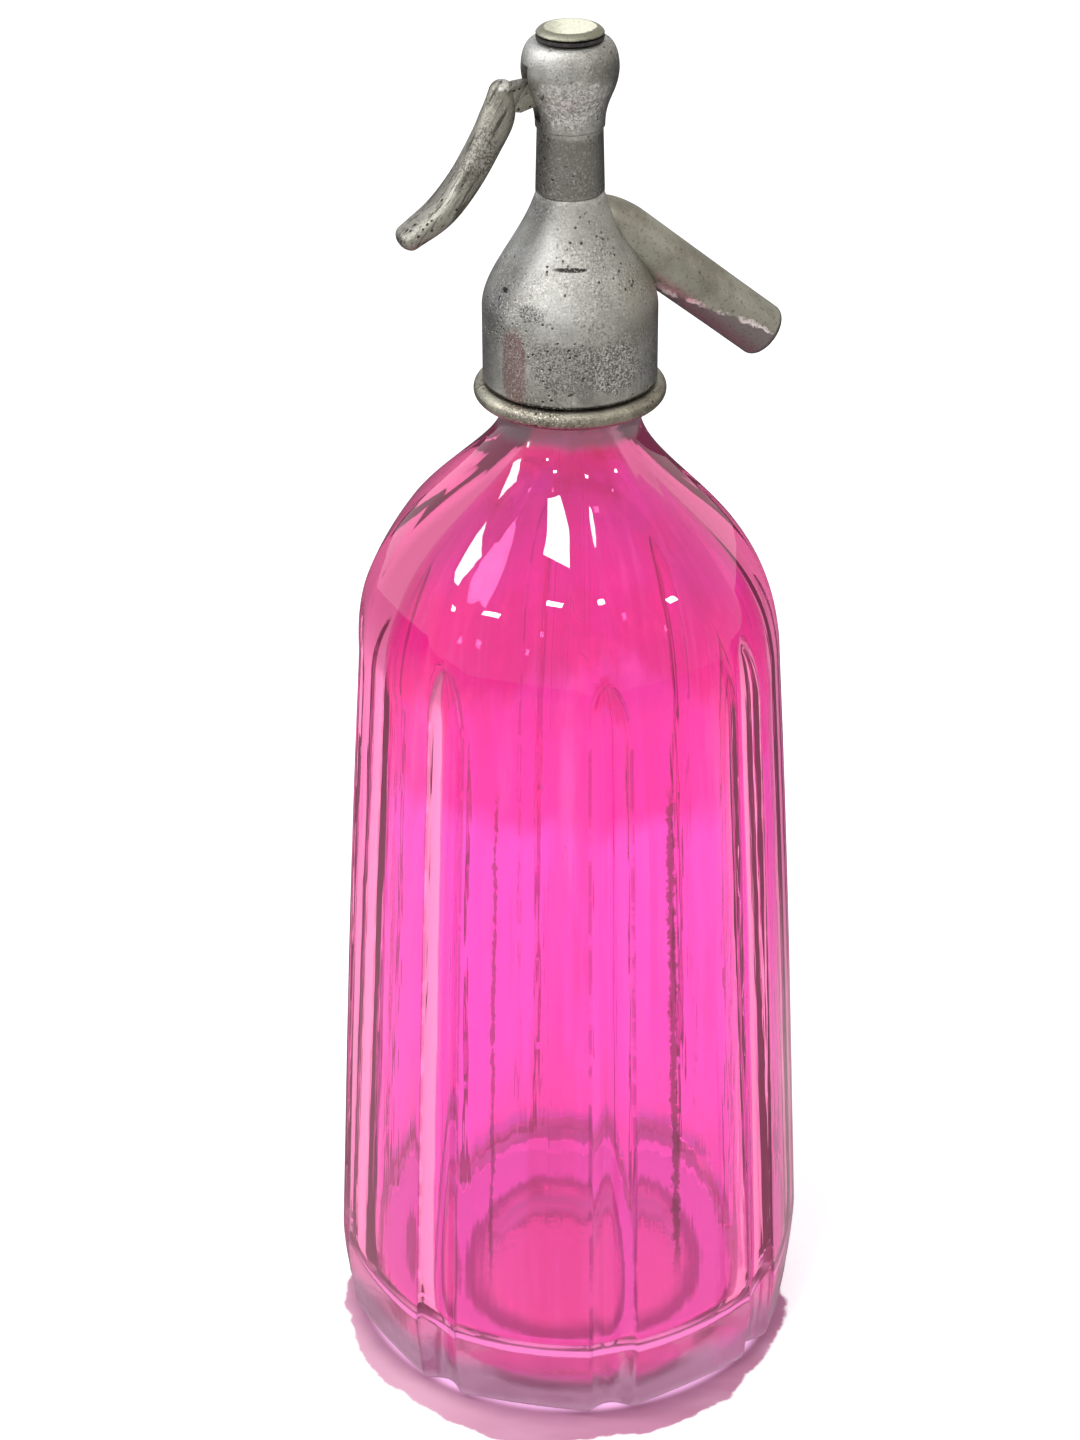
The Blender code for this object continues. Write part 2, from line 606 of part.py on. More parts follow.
def bell_outline(swell=0.0):
    """Outside of the head from the skirt to the crown, each point moved out by a swell."""
    skirt = SKIRT_RADIUS
    bell_foot = (skirt, BELL_FOOT_Z)
    neck_foot = (HEAD_NECK_RADIUS, HEAD_NECK_Z)
    ball_foot = (HEAD_NECK_RADIUS, BALL_FOOT_Z)
    waist = (BALL_RADIUS, BALL_WAIST_Z)
    crown = (BALL_CROWN_RADIUS, HEAD_TOP_Z)
    line_radius = HEAD_NECK_RADIUS - TURNED_LINE_DEPTH
    points = [(skirt - SKIRT_EDGE, SKIRT_BOTTOM_Z), (skirt, SKIRT_BOTTOM_Z + SKIRT_EDGE), bell_foot]
    points += bezier(bell_foot, neck_foot, BELL_HANDLE_SHARES, 7)
    points += [
        (line_radius, HEAD_NECK_Z + TURNED_LINE_WIDTH / 2),
        (HEAD_NECK_RADIUS, HEAD_NECK_Z + TURNED_LINE_WIDTH),
        (HEAD_NECK_RADIUS, BALL_FOOT_Z - TURNED_LINE_WIDTH),
        (line_radius, BALL_FOOT_Z - TURNED_LINE_WIDTH / 2),
        ball_foot,
    ]
    points += bezier(ball_foot, waist, BALL_HANDLE_SHARES, 6)
    points += bezier(waist, crown, CROWN_HANDLE_SHARES, 5)
    return [(radius + swell, z) for radius, z in points]


def aim_along_spout(obj):
    """Stand an object's Z axis along the spout, from the point where it crosses the head."""
    obj.rotation_euler = (0.0, math.pi / 2 + SPOUT_DROP_ANGLE, SPOUT_AZIMUTH)
    obj.location = (0.0, 0.0, CEILING_Z + SPOUT_CROSSING_HEIGHT)


def rod_cutter(name, radius, start, end):
    """A round cutter along Z."""
    return turned(name, [(0.0, start), (radius, start), (radius, end), (0.0, end)], "lever_metal")


def across_lever(obj):
    """Lay an object's Z axis along the lever's pin, with its middle on the pin."""
    obj.rotation_euler = (math.pi / 2, 0.0, LEVER_AZIMUTH)
    obj.location = (
        PIVOT_RADIUS * math.cos(LEVER_AZIMUTH),
        PIVOT_RADIUS * math.sin(LEVER_AZIMUTH),
        PIVOT_Z,
    )


def build_head():
    """The head casting, bored through, with the lever's slot, pin hole and spout socket."""
    inside = [
        (HEAD_BORE_RADIUS, HEAD_TOP_Z),
        (HEAD_BORE_RADIUS, PACKING_FLOOR_Z),
        (ROD_HOLE_RADIUS, PACKING_FLOOR_Z),
        (ROD_HOLE_RADIUS, CHAMBER_TOP_Z),
        (CHAMBER_RADIUS, CHAMBER_TOP_Z),
        (CHAMBER_RADIUS, CEILING_Z),
        (SKIRT_BORE_RADIUS, CEILING_Z),
        (SKIRT_BORE_RADIUS, SKIRT_BOTTOM_Z),
    ]
    head = turned("head_body", bell_outline() + inside, "worn_pewter", FINE_STEPS)
    slot = block(
        "lever_slot",
        (CHAMBER_RADIUS - OVERRUN / 2, BALL_RADIUS + OVERRUN),
        (-SLOT_WIDTH / 2, SLOT_WIDTH / 2),
        PIVOT_Z - SLOT_FALL,
        PIVOT_Z + SLOT_RISE,
    )
    place(slot, LEVER_AZIMUTH)
    pin_hole = rod_cutter("pin_hole", PIN_RADIUS + GAP, -BALL_RADIUS, BALL_RADIUS)
    across_lever(pin_hole)
    socket = rod_cutter("spout_socket", SPIGOT_RADIUS + GAP, SPIGOT_START - GAP, SPOUT_LENGTH / 2)
    passage = rod_cutter("spout_passage", PASSAGE_RADIUS, PASSAGE_START, SPIGOT_START + OVERRUN)
    aim_along_spout(socket)
    aim_along_spout(passage)
    for cutter in (slot, pin_hole, socket, passage):
        combine(head, cutter, "DIFFERENCE")
    return head


def build_spout():
    """The spout tube, coped to the bell, with a spigot in the head's socket."""
    root = (SPOUT_ROOT_RADIUS, SPOUT_ROOT_START)
    swell = (SPOUT_SWELL_RADIUS, SPOUT_SWELL_START)
    rounding = (SPOUT_RADIUS - SPOUT_END_ROUND, SPOUT_LENGTH - SPOUT_END_ROUND)
    outer = [(0.0, SPOUT_ROOT_START), root]
    outer += bezier(root, swell, SPOUT_HANDLE_SHARES, 4)
    outer += arc(rounding, SPOUT_END_ROUND, 0.0, math.pi / 2, 3)
    outer += [(0.0, SPOUT_LENGTH)]
    spout = turned("spout", outer, "worn_pewter", SPOUT_STEPS)
    cope_profile = bell_outline(GAP)
    cope_profile = [(0.0, SKIRT_BOTTOM_Z)] + cope_profile + [(0.0, HEAD_TOP_Z)]
    cope = turned("cope", cope_profile, "worn_pewter", FINE_STEPS)
    spigot = rod_cutter("spigot", SPIGOT_RADIUS, SPIGOT_START, SPOUT_LENGTH / 2)
    bore_profile = [
        (0.0, SPIGOT_START - OVERRUN),
        (PASSAGE_RADIUS, SPIGOT_START - OVERRUN),
        (PASSAGE_RADIUS, SPOUT_BORE_START - SPOUT_BORE_RADIUS),
        (SPOUT_BORE_RADIUS, SPOUT_BORE_START),
        (SPOUT_BORE_RADIUS, SPOUT_LENGTH + OVERRUN),
        (0.0, SPOUT_LENGTH + OVERRUN),
    ]
    bore = turned("spout_bore", bore_profile, "worn_pewter")
    for obj in (spout, spigot, bore):
        aim_along_spout(obj)
    combine(spout, cope, "DIFFERENCE")
    combine(spout, spigot, "UNION")
    combine(spout, bore, "DIFFERENCE")


def build_valve():
    """The rubber disc, its holder and the rod, which rise together when the lever is pressed."""
    disc = [(0.0, DISC_Z), (DISC_RADIUS, DISC_Z), (DISC_RADIUS, DISC_TOP_Z), (0.0, DISC_TOP_Z)]
    turned("valve_disc", disc, "seal_rubber")
    rim = DISC_RADIUS + GAP
    rim_z = DISC_TOP_Z + GAP - HOLDER_RIM_DEPTH
    socket = ROD_RADIUS + GAP
    holder_top = HOLDER_SOCKET_Z + HOLDER_SOCKET_DEPTH
    holder = [
        (0.0, HOLDER_SOCKET_Z),
        (socket, HOLDER_SOCKET_Z),
        (socket, holder_top),
        (HOLDER_RADIUS, holder_top),
        (HOLDER_RADIUS, rim_z),
        (rim, rim_z),
        (rim, DISC_TOP_Z + GAP),
        (0.0, DISC_TOP_Z + GAP),
    ]
    turned("valve_disc_holder", holder, "valve_brass")
    spigot_top = ROD_HEAD_TOP_Z + ROD_SPIGOT_HEIGHT
    rod = [
        (0.0, HOLDER_SOCKET_Z + GAP),
        (ROD_RADIUS, HOLDER_SOCKET_Z + GAP),
        (ROD_RADIUS, ROD_HEAD_Z),
        (ROD_HEAD_RADIUS, ROD_HEAD_Z),
        (ROD_HEAD_RADIUS, ROD_HEAD_TOP_Z),
        (ROD_SPIGOT_RADIUS, ROD_HEAD_TOP_Z),
        (ROD_SPIGOT_RADIUS, spigot_top),
        (0.0, spigot_top),
    ]
    valve_rod = turned("valve_rod", rod, "valve_brass")
    reach = ROD_HEAD_RADIUS + OVERRUN
    tip = NOSE_TIP_RADIUS + GAP
    notch_outline = [
        (-tip, PIVOT_Z - tip),
        (NOTCH_LEDGE, PIVOT_Z - tip),
        (NOTCH_LEDGE, PIVOT_Z - NOTCH_FALL),
        (reach, PIVOT_Z - NOTCH_FALL),
        (reach, PIVOT_Z + tip),
        (-tip, PIVOT_Z + tip),
    ]
    notch = prism("rod_notch", notch_outline, SLOT_WIDTH, "valve_brass")
    place(notch, LEVER_AZIMUTH)
    combine(valve_rod, notch, "DIFFERENCE")


def build_packing():
    """The packing cup round the rod and the slotted gland that presses it down."""
    inner = ROD_RADIUS + GAP
    outer = HEAD_BORE_RADIUS - GAP
    cup_z = PACKING_FLOOR_Z + GAP
    cup_top = cup_z + CUP_HEIGHT
    hollow_z = cup_top - CUP_HOLLOW_DEPTH
    cup = [
        (inner, cup_z),
        (outer, cup_z),
        (outer, cup_top),
        (outer - CUP_LIP, cup_top),
        (outer - 2 * CUP_LIP, hollow_z),
        (inner + 2 * CUP_LIP, hollow_z),
        (inner + CUP_LIP, cup_top),
        (inner, cup_top),
    ]
    turned("packing_cup", cup, "seal_rubber")
    gland_z = cup_top + GAP
    gland_top = gland_z + GLAND_HEIGHT
    gland = turned("packing_gland", ring_band(inner, outer, gland_z, gland_top), "valve_brass")
    reach = outer + OVERRUN
    half_slot = GLAND_SLOT_WIDTH / 2
    slot = block(
        "gland_slot",
        (-reach, reach),
        (-half_slot, half_slot),
        gland_top - GLAND_SLOT_DEPTH,
        gland_top + OVERRUN,
    )
    combine(gland, slot, "DIFFERENCE")


def build_spring():
    """The coiled spring, one unbroken wire, and the washer that it stands on."""
    washer = ring_band(
        ROD_SPIGOT_RADIUS + GAP,
        ROD_HEAD_RADIUS,
        SPRING_WASHER_Z,
        SPRING_WASHER_Z + SPRING_WASHER_THICKNESS,
    )
    turned("spring_washer", washer, "valve_brass")
    low = SPRING_FOOT_Z + SPRING_WIRE_RADIUS
    high = SPRING_TOP_Z - SPRING_WIRE_RADIUS
    count = round(SPRING_TURNS * COIL_STEPS)
    points = []
    for step in range(count + 1):
        angle = math.tau * SPRING_TURNS * step / count
        z = low + (high - low) * step / count
        points.append(Vector((SPRING_RADIUS * math.cos(angle), SPRING_RADIUS * math.sin(angle), z)))
    curve = bpy.data.curves.new("valve_spring", "CURVE")
    curve.dimensions = "3D"
    curve.bevel_depth = SPRING_WIRE_RADIUS
    curve.bevel_resolution = 1
    curve.use_fill_caps = True
    spline = curve.splines.new("POLY")
    spline.points.add(count)
    for knot, point in zip(spline.points, points):
        knot.co = (*point, 1.0)
    spring = bpy.data.objects.new("valve_spring", curve)
    spring.data.materials.append(material("valve_spring", "spring_steel"))
    bpy.context.scene.collection.objects.link(spring)
    far = [(a, b) for a in range(len(points)) for b in range(a + COIL_STEPS // 2, len(points))]
    least = min((points[a] - points[b]).length for a, b in far) - 2 * SPRING_WIRE_RADIUS
    print(f"valve_spring least gap to itself: {least * 1000:.2f} mm")


def build_cap():
    """The screw cap, hollow below for the spring, and its sealing washer."""
    washer_z = HEAD_TOP_Z + GAP
    washer = ring_band(HEAD_BORE_RADIUS, CAP_RADIUS, washer_z, washer_z + CAP_WASHER_THICKNESS)
    turned("cap_washer", washer, "seal_rubber")
    plug = HEAD_BORE_RADIUS - GAP
    plug_foot = CAP_Z - CAP_PLUG_DEPTH
    cap = [
        (0.0, CAP_HOLLOW_Z),
        (CAP_HOLLOW_RADIUS, CAP_HOLLOW_Z),
        (CAP_HOLLOW_RADIUS, plug_foot),
        (plug, plug_foot),
        (plug, CAP_Z),
        (CAP_RADIUS, CAP_Z),
        (CAP_RADIUS, CAP_Z + GAP),
    ]
    cap += bezier((CAP_RADIUS, CAP_Z + GAP), (CAP_TOP_RADIUS, CAP_TOP_Z), CAP_HANDLE_SHARES, 3)
    cap += [(0.0, CAP_TOP_Z)]
    turned("top_cap", cap, "cap_metal")


def handle_stations():
    """Smooth stations along the handle: centre x and z, half thickness and half width."""
    knots = []
    for reach_share, drop_share, thick_share, wide_share in HANDLE_SHARES:
        x = reach_share * LEVER_REACH
        z = -drop_share * LEVER_DROP
        knots.append(Vector((x, z, thick_share * LEVER_THICKNESS / 2, wide_share * LEVER_WIDTH / 2)))
    padded = [2 * knots[0] - knots[1], *knots, 2 * knots[-1] - knots[-2]]
    stations = []
    for before, start, end, after in zip(padded, padded[1:], padded[2:], padded[3:]):
        for step in range(HANDLE_STEPS):
            t = step / HANDLE_STEPS
            pull = (end - before) / 2
            push = (after - start) / 2
            hermite = (2 * t**3 - 3 * t**2 + 1, t**3 - 2 * t**2 + t, 3 * t**2 - 2 * t**3, t**3 - t**2)
            stations.append(start * hermite[0] + pull * hermite[1] + end * hermite[2] + push * hermite[3])
    stations.append(knots[-1])
    return stations


def handle_ring(station, along, scale):
    """One oval section of the handle, square to its course."""
    across = Vector((-along.y, along.x))
    ring = []
    for side in range(HANDLE_SIDES):
        angle = math.tau * side / HANDLE_SIDES
        out = station[2] * scale * math.cos(angle)
        ring.append(
            (station[0] + across.x * out, station[3] * scale * math.sin(angle), station[1] + across.y * out)
        )
    return ring


def build_handle():
    """The curved handle, its ends rounded like half an egg."""
    stations = handle_stations()
    courses = []
    for index, station in enumerate(stations):
        before = stations[max(index - 1, 0)]
        after = stations[min(index + 1, len(stations) - 1)]
        courses.append(Vector((after[0] - before[0], after[1] - before[1])).normalized())
    rings = []
    ends = ((stations[0], -courses[0]), (stations[-1], courses[-1]))
    caps = []
    for station, outward in ends:
        cap = []
        for along_share, scale in HANDLE_END_SHARES:
            centre = station.copy()
            centre[0] += outward.x * along_share * station[2]
            centre[1] += outward.y * along_share * station[2]
            cap.append((centre, scale))
        pole = (station[0] + outward.x * station[2], 0.0, station[1] + outward.y * station[2])
        caps.append((cap, pole))
    first, last = caps
    rings.append([first[1]])
    rings += [handle_ring(centre, courses[0], scale) for centre, scale in reversed(first[0])]
    rings += [handle_ring(station, course, 1.0) for station, course in zip(stations[1:-1], courses[1:-1])]
    rings += [handle_ring(centre, courses[-1], scale) for centre, scale in last[0]]
    rings.append([last[1]])
    return lofted("lever", rings, "lever_metal")


def build_lever():
    """The lever about its pin: web, nose and handle, and the pin through the ball."""
    nose = (-PIVOT_RADIUS, 0.0)
    boss = LEVER_BOSS_RADIUS
    lean = math.asin(NOSE_HALF_HEIGHT / boss)
    corner_share, depth_share = WEB_CORNER_SHARES
    inner_corner = (PIVOT_RADIUS * corner_share, -boss * depth_share)
    root = LEVER_REACH * HANDLE_SHARES[0][0]
    low_share, high_share = WEB_ROOT_SHARES
    outline = arc(nose, NOSE_TIP_RADIUS, math.pi / 4, math.tau - math.pi / 4, 8)
    outline += arc((0.0, 0.0), boss, math.pi + lean, math.pi * 1.5, 3)
    outline += [inner_corner, (root, -boss * low_share), (root, boss * high_share)]
    outline += [(root - boss, boss * WEB_CREST_SHARE)]
    outline += arc((0.0, 0.0), boss, math.pi / 2, math.pi - lean, 3)
    web = prism("lever_web", outline, WEB_THICKNESS, "lever_metal")
    lever = build_handle()
    hole = rod_cutter("lever_hole", PIN_RADIUS + GAP, -BALL_RADIUS, BALL_RADIUS)
    across_lever(hole)
    for obj in (lever, web):
        place(obj, LEVER_AZIMUTH, PIVOT_RADIUS, PIVOT_Z)
    combine(lever, web, "UNION")
    combine(lever, hole, "DIFFERENCE")
    half_length = math.sqrt(BALL_RADIUS**2 - PIVOT_RADIUS**2) * PIN_CHORD_SHARE
    pin = rod_cutter("lever_pin", PIN_RADIUS, -half_length, half_length)
    across_lever(pin)


def main():
    """Build the siphon, piece by piece."""
    clear_scene()
    build_bottle()
    build_tube_parts()
    build_collar()
    build_head()
    build_spout()
    build_valve()
    build_packing()
    build_spring()
    build_cap()
    build_lever()


main()
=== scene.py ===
"""Looks of a soda siphon: stained fluted glass under a worn cast head, on a pale studio floor."""

import logging
import math
from collections.abc import Callable, Sequence
from dataclasses import dataclass, field
from enum import Enum
from typing import Any

import bmesh
import bpy
import numpy as np
from mathutils import Matrix, Vector


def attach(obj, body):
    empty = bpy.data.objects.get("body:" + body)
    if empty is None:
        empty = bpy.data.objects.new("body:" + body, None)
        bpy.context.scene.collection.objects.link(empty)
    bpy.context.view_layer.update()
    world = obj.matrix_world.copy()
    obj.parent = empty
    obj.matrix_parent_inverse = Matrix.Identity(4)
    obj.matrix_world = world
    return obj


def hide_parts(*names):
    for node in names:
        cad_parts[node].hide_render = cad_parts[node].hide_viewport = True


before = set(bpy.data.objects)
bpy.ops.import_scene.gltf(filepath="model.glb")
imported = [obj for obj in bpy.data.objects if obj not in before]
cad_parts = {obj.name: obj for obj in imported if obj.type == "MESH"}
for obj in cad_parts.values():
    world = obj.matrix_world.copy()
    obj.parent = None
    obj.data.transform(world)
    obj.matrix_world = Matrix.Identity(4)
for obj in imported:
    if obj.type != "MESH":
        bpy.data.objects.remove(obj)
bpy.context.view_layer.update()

log = logging.getLogger("siphon")

Point = tuple[float, float]
Place = tuple[float, float, float]
Colour = tuple[float, float, float]
Span = tuple[float, float]
SMALLEST = 1e-6


class Body(Enum):
    """What a piece moves with."""

    SIPHON = "siphon"
    LEVER = "lever_arm"


class Slot(Enum):
    """The record's material slots."""

    TINTED_GLASS = "tinted_glass"
    CLEAR_GLASS = "clear_glass"
    PEWTER = "worn_pewter"
    COLLAR = "collar_metal"
    LEVER = "lever_metal"
    CAP = "cap_metal"
    BRASS = "valve_brass"
    STEEL = "spring_steel"
    RUBBER = "seal_rubber"
    CORK = "cork_packing"


# Shader maths


def operator(kind: str, swapped: bool = False) -> Callable[..., "Wire"]:
    """A wire's method that sets one Math node between it and the other value.

    Args:
        kind: Blender's name of the operation.
        swapped: Whether the other value comes first.

    Returns:
        The method.
    """

    def combine(wire: "Wire", *others: "Wire | float") -> "Wire":
        values = (*others, wire) if swapped else (wire, *others)
        return wire.paint.maths(kind, *values)

    return combine


class Wire:
    """A node's output, with the operators of shader maths."""

    def __init__(self, paint: "Recipe", socket: bpy.types.NodeSocket) -> None:
        """Wrap an output socket of a paint's node tree."""
        self.paint = paint
        self.socket = socket

    __add__ = operator("ADD")
    __radd__ = operator("ADD", swapped=True)
    __sub__ = operator("SUBTRACT")
    __rsub__ = operator("SUBTRACT", swapped=True)
    __mul__ = operator("MULTIPLY")
    __truediv__ = operator("DIVIDE")
    __pow__ = operator("POWER")
    __abs__ = operator("ABSOLUTE")
    least = operator("MINIMUM")
    most = operator("MAXIMUM")

    def held(self) -> "Wire":
        """The value kept between 0 and 1."""
        return self.most(0.0).least(1.0)

    def step(self, low: float, high: float) -> "Wire":
        """A smooth rise from 0 at low to 1 at high, or a fall where low is the larger.

        Args:
            low: Value at which the result is 0.
            high: Value at which the result is 1.

        Returns:
            The eased share.
        """
        if low > high:
            return 1.0 - self.step(high, low)
        settings = {"interpolation_type": "SMOOTHSTEP"}
        made = self.paint.node(
            "ShaderNodeMapRange", settings, {"Value": self, "From Min": low, "From Max": high}
        )
        return Wire(self.paint, made.outputs["Result"])


Value = Wire | float


def from_axis(across: Wire, along: Wire) -> Wire:
    """Distance of a point from an upright axis."""
    return (across * across + along * along) ** 0.5


class Recipe:
    """A node tree being written."""

    def __init__(self, tree: bpy.types.NodeTree, coordinate: str) -> None:
        """Take up a tree, and the texture coordinate that its patterns use."""
        self.tree = tree
        self.coordinate = coordinate
        self._place: Wire | None = None

    def node(
        self, kind: str, settings: dict[str, Any] | None = None, sockets: dict[Any, Any] | None = None
    ) -> bpy.types.Node:
        """Add a node.

        Args:
            kind: Blender's name of the node's type.
            settings: Its properties.
            sockets: A value or a wire for each input, by name or number.

        Returns:
            The node.
        """
        made = self.tree.nodes.new(kind)
        for name, value in (settings or {}).items():
            setattr(made, name, value)
        for name, value in (sockets or {}).items():
            if isinstance(value, Wire):
                self.tree.links.new(value.socket, made.inputs[name])
            else:
                made.inputs[name].default_value = value
        return made

    def maths(self, operation: str, *values: Value) -> Wire:
        """One Math node."""
        made = self.node("ShaderNodeMath", {"operation": operation}, dict(enumerate(values)))
        return Wire(self, made.outputs[0])

    def place(self) -> Wire:
        """Where a point lies on the piece, in metres."""
        if self._place is None:
            self._place = Wire(self, self.node("ShaderNodeTexCoord").outputs[self.coordinate])
        return self._place

    def axes(self) -> tuple[Wire, Wire, Wire]:
        """The three parts of the place."""
        made = self.node("ShaderNodeSeparateXYZ", {}, {"Vector": self.place()})
        return tuple(Wire(self, made.outputs[index]) for index in range(3))

    def mapped(
        self,
        scale: Sequence[float],
        turn: Sequence[float] = (0.0, 0.0, 0.0),
        shift: Sequence[float] = (0.0, 0.0, 0.0),
    ) -> Wire:
        """The place, shifted, turned and scaled for a pattern."""
        made = self.node(
            "ShaderNodeMapping",
            {"vector_type": "POINT"},
            {"Vector": self.place(), "Scale": scale, "Rotation": turn, "Location": shift},
        )
        return Wire(self, made.outputs["Vector"])

    def noise(self, scale: float, detail: float, rough: float, at: Wire | None = None) -> Wire:
        """Cloudy noise about 0.5, with grains of about 1/scale metres."""
        sockets = {"Vector": at or self.place(), "Scale": scale, "Detail": detail, "Roughness": rough}
        return Wire(self, self.node("ShaderNodeTexNoise", {}, sockets).outputs["Fac"])

    def cells(self, scale: float) -> Wire:
        """Distance from the nearest of scattered points."""
        made = self.node("ShaderNodeTexVoronoi", {}, {"Vector": self.place(), "Scale": scale})
        return Wire(self, made.outputs["Distance"])

    def mixed(self, share: Value, first: Wire | Colour, second: Wire | Colour) -> Wire:
        """One colour laid over another."""
        made = self.node("ShaderNodeMix", {"data_type": "RGBA"}, {0: share})
        for index, value in ((6, first), (7, second)):
            if isinstance(value, Wire):
                self.tree.links.new(value.socket, made.inputs[index])
            else:
                made.inputs[index].default_value = (*value, 1.0)
        return Wire(self, made.outputs[2])

    def bump(self, height: Wire, distance: float, strength: float = 1.0, under: Wire | None = None) -> Wire:
        """A surface raised by a height, over another bump if there is one."""
        sockets = {"Height": height, "Distance": distance, "Strength": strength}
        if under is not None:
            sockets["Normal"] = under
        return Wire(self, self.node("ShaderNodeBump", {}, sockets).outputs["Normal"])

    def rays(self, *kinds: str) -> Wire:
        """1 for rays of any of these kinds, and 0 for the others."""
        light = self.node("ShaderNodeLightPath")
        seen = Wire(self, light.outputs[f"Is {kinds[0]} Ray"])
        for kind in kinds[1:]:
            seen = seen.most(Wire(self, light.outputs[f"Is {kind} Ray"]))
        return seen


class Paint(Recipe):
    """A material being mixed: its nodes and the shader that they feed."""

    def __init__(self, name: str, colour: Colour) -> None:
        """Start a material.

        Args:
            name: The material's name.
            colour: Its plain colour, for a viewport.
        """
        self.material = bpy.data.materials.new(name)
        self.material.use_nodes = True
        self.material.diffuse_color = (*colour, 1.0)
        super().__init__(self.material.node_tree, "Object")
        self.shader = self.tree.nodes["Principled BSDF"]

    def finish(self, **sockets: Any) -> bpy.types.Material:
        """Set the shader's own sockets, by name with its spaces as underscores.

        Args:
            sockets: Values, colours or wires.

        Returns:
            The material.
        """
        for name, value in sockets.items():
            target = self.shader.inputs[name.replace("_", " ")]
            if isinstance(value, Wire):
                self.tree.links.new(value.socket, target)
            elif isinstance(value, tuple):
                target.default_value = (*value, 1.0)
            else:
                target.default_value = value
        return self.material


# Finishes


@dataclass(frozen=True)
class StainedGlass:
    """The magenta stain on the inside of the bottle, deepest in a ragged band under the shoulder."""

    body: Colour = (1.000, 0.210, 1.000)
    band: Colour = (0.860, 0.020, 0.440)
    shoulder: Colour = (0.660, 0.090, 0.520)
    violet: Colour = (0.760, 0.140, 0.820)
    ruby: Colour = (0.560, 0.040, 0.170)
    base: Colour = (0.980, 0.260, 0.800)
    flank: Colour = (1.000, 0.480, 0.900)
    deep: Colour = (0.880, 0.060, 0.520)
    residue: Colour = (0.060, 0.010, 0.020)
    # painted glow: the stain gives off a faint magenta light of its own
    glow: Colour = (0.030, 0.003, 0.012)
    band_z: Span = (0.150, 0.159)
    shoulder_z: Span = (0.172, 0.192)
    violet_z: Span = (0.196, 0.206)
    ruby_z: Span = (0.216, 0.228)
    base_z: Span = (0.050, 0.018)
    run_foot_z: Span = (0.030, 0.045)
    run_top_z: Span = (0.166, 0.158)
    runs: tuple[Place, ...] = ((-61.5, 0.0013, 0.95), (-112.0, 0.0006, 0.85))

    def mix(self) -> bpy.types.Material:
        """Mix the finish."""
        paint = Paint("magenta_stain", self.body)
        across, along, height = paint.axes()
        ragged = paint.noise(28.0, 4.0, 0.6) - 0.5
        drips = paint.noise(1.0, 3.0, 0.6, paint.mapped(scale=(110.0, 110.0, 18.0))) - 0.5
        edge = height + ragged * 0.022 + drips * 0.016
        tone = paint.mixed(edge.step(*self.band_z), self.body, self.band)
        tone = paint.mixed(edge.step(*self.shoulder_z), tone, self.shoulder)
        tone = paint.mixed((edge + drips * 0.030).step(*self.violet_z) * 0.8, tone, self.violet)
        tone = paint.mixed((edge + drips * 0.020).step(*self.ruby_z) * 0.9, tone, self.ruby)
        tone = paint.mixed((height + ragged * 0.010).step(*self.base_z), tone, self.base)
        streaks = paint.noise(1.0, 4.0, 0.6, paint.mapped(scale=(160.0, 160.0, 9.0)))
        tone = paint.mixed(streaks.step(0.50, 0.75) * 0.55, tone, self.flank)
        veils = paint.noise(1.0, 4.0, 0.6, paint.mapped(scale=(75.0, 75.0, 5.0), shift=(0.4, 0.1, 0.2)))
        tone = paint.mixed(veils.step(0.52, 0.64) * 0.60, tone, self.deep)
        rough = paint.noise(420.0, 3.0, 0.7) - 0.5
        bent = paint.noise(55.0, 2.0, 0.5) - 0.5
        for azimuth, width, share in self.runs:
            turn = math.radians(azimuth)
            aside = across * math.sin(turn) - along * math.cos(turn) + bent * 0.0016
            front = (across * math.cos(turn) + along * math.sin(turn)).step(0.0, 0.001)
            line = (abs(aside) + rough * width * 3.0).step(width, width * 0.4)
            line = line * front * height.step(*self.run_foot_z) * height.step(*self.run_top_z)
            tone = paint.mixed(line * share, tone, self.residue)
        return paint.finish(
            Base_Color=tone,
            Roughness=0.0,
            Transmission_Weight=1.0,
            IOR=1.5,
            # painted glow of the stain
            Emission_Color=self.glow,
            Emission_Strength=1.0,
        )


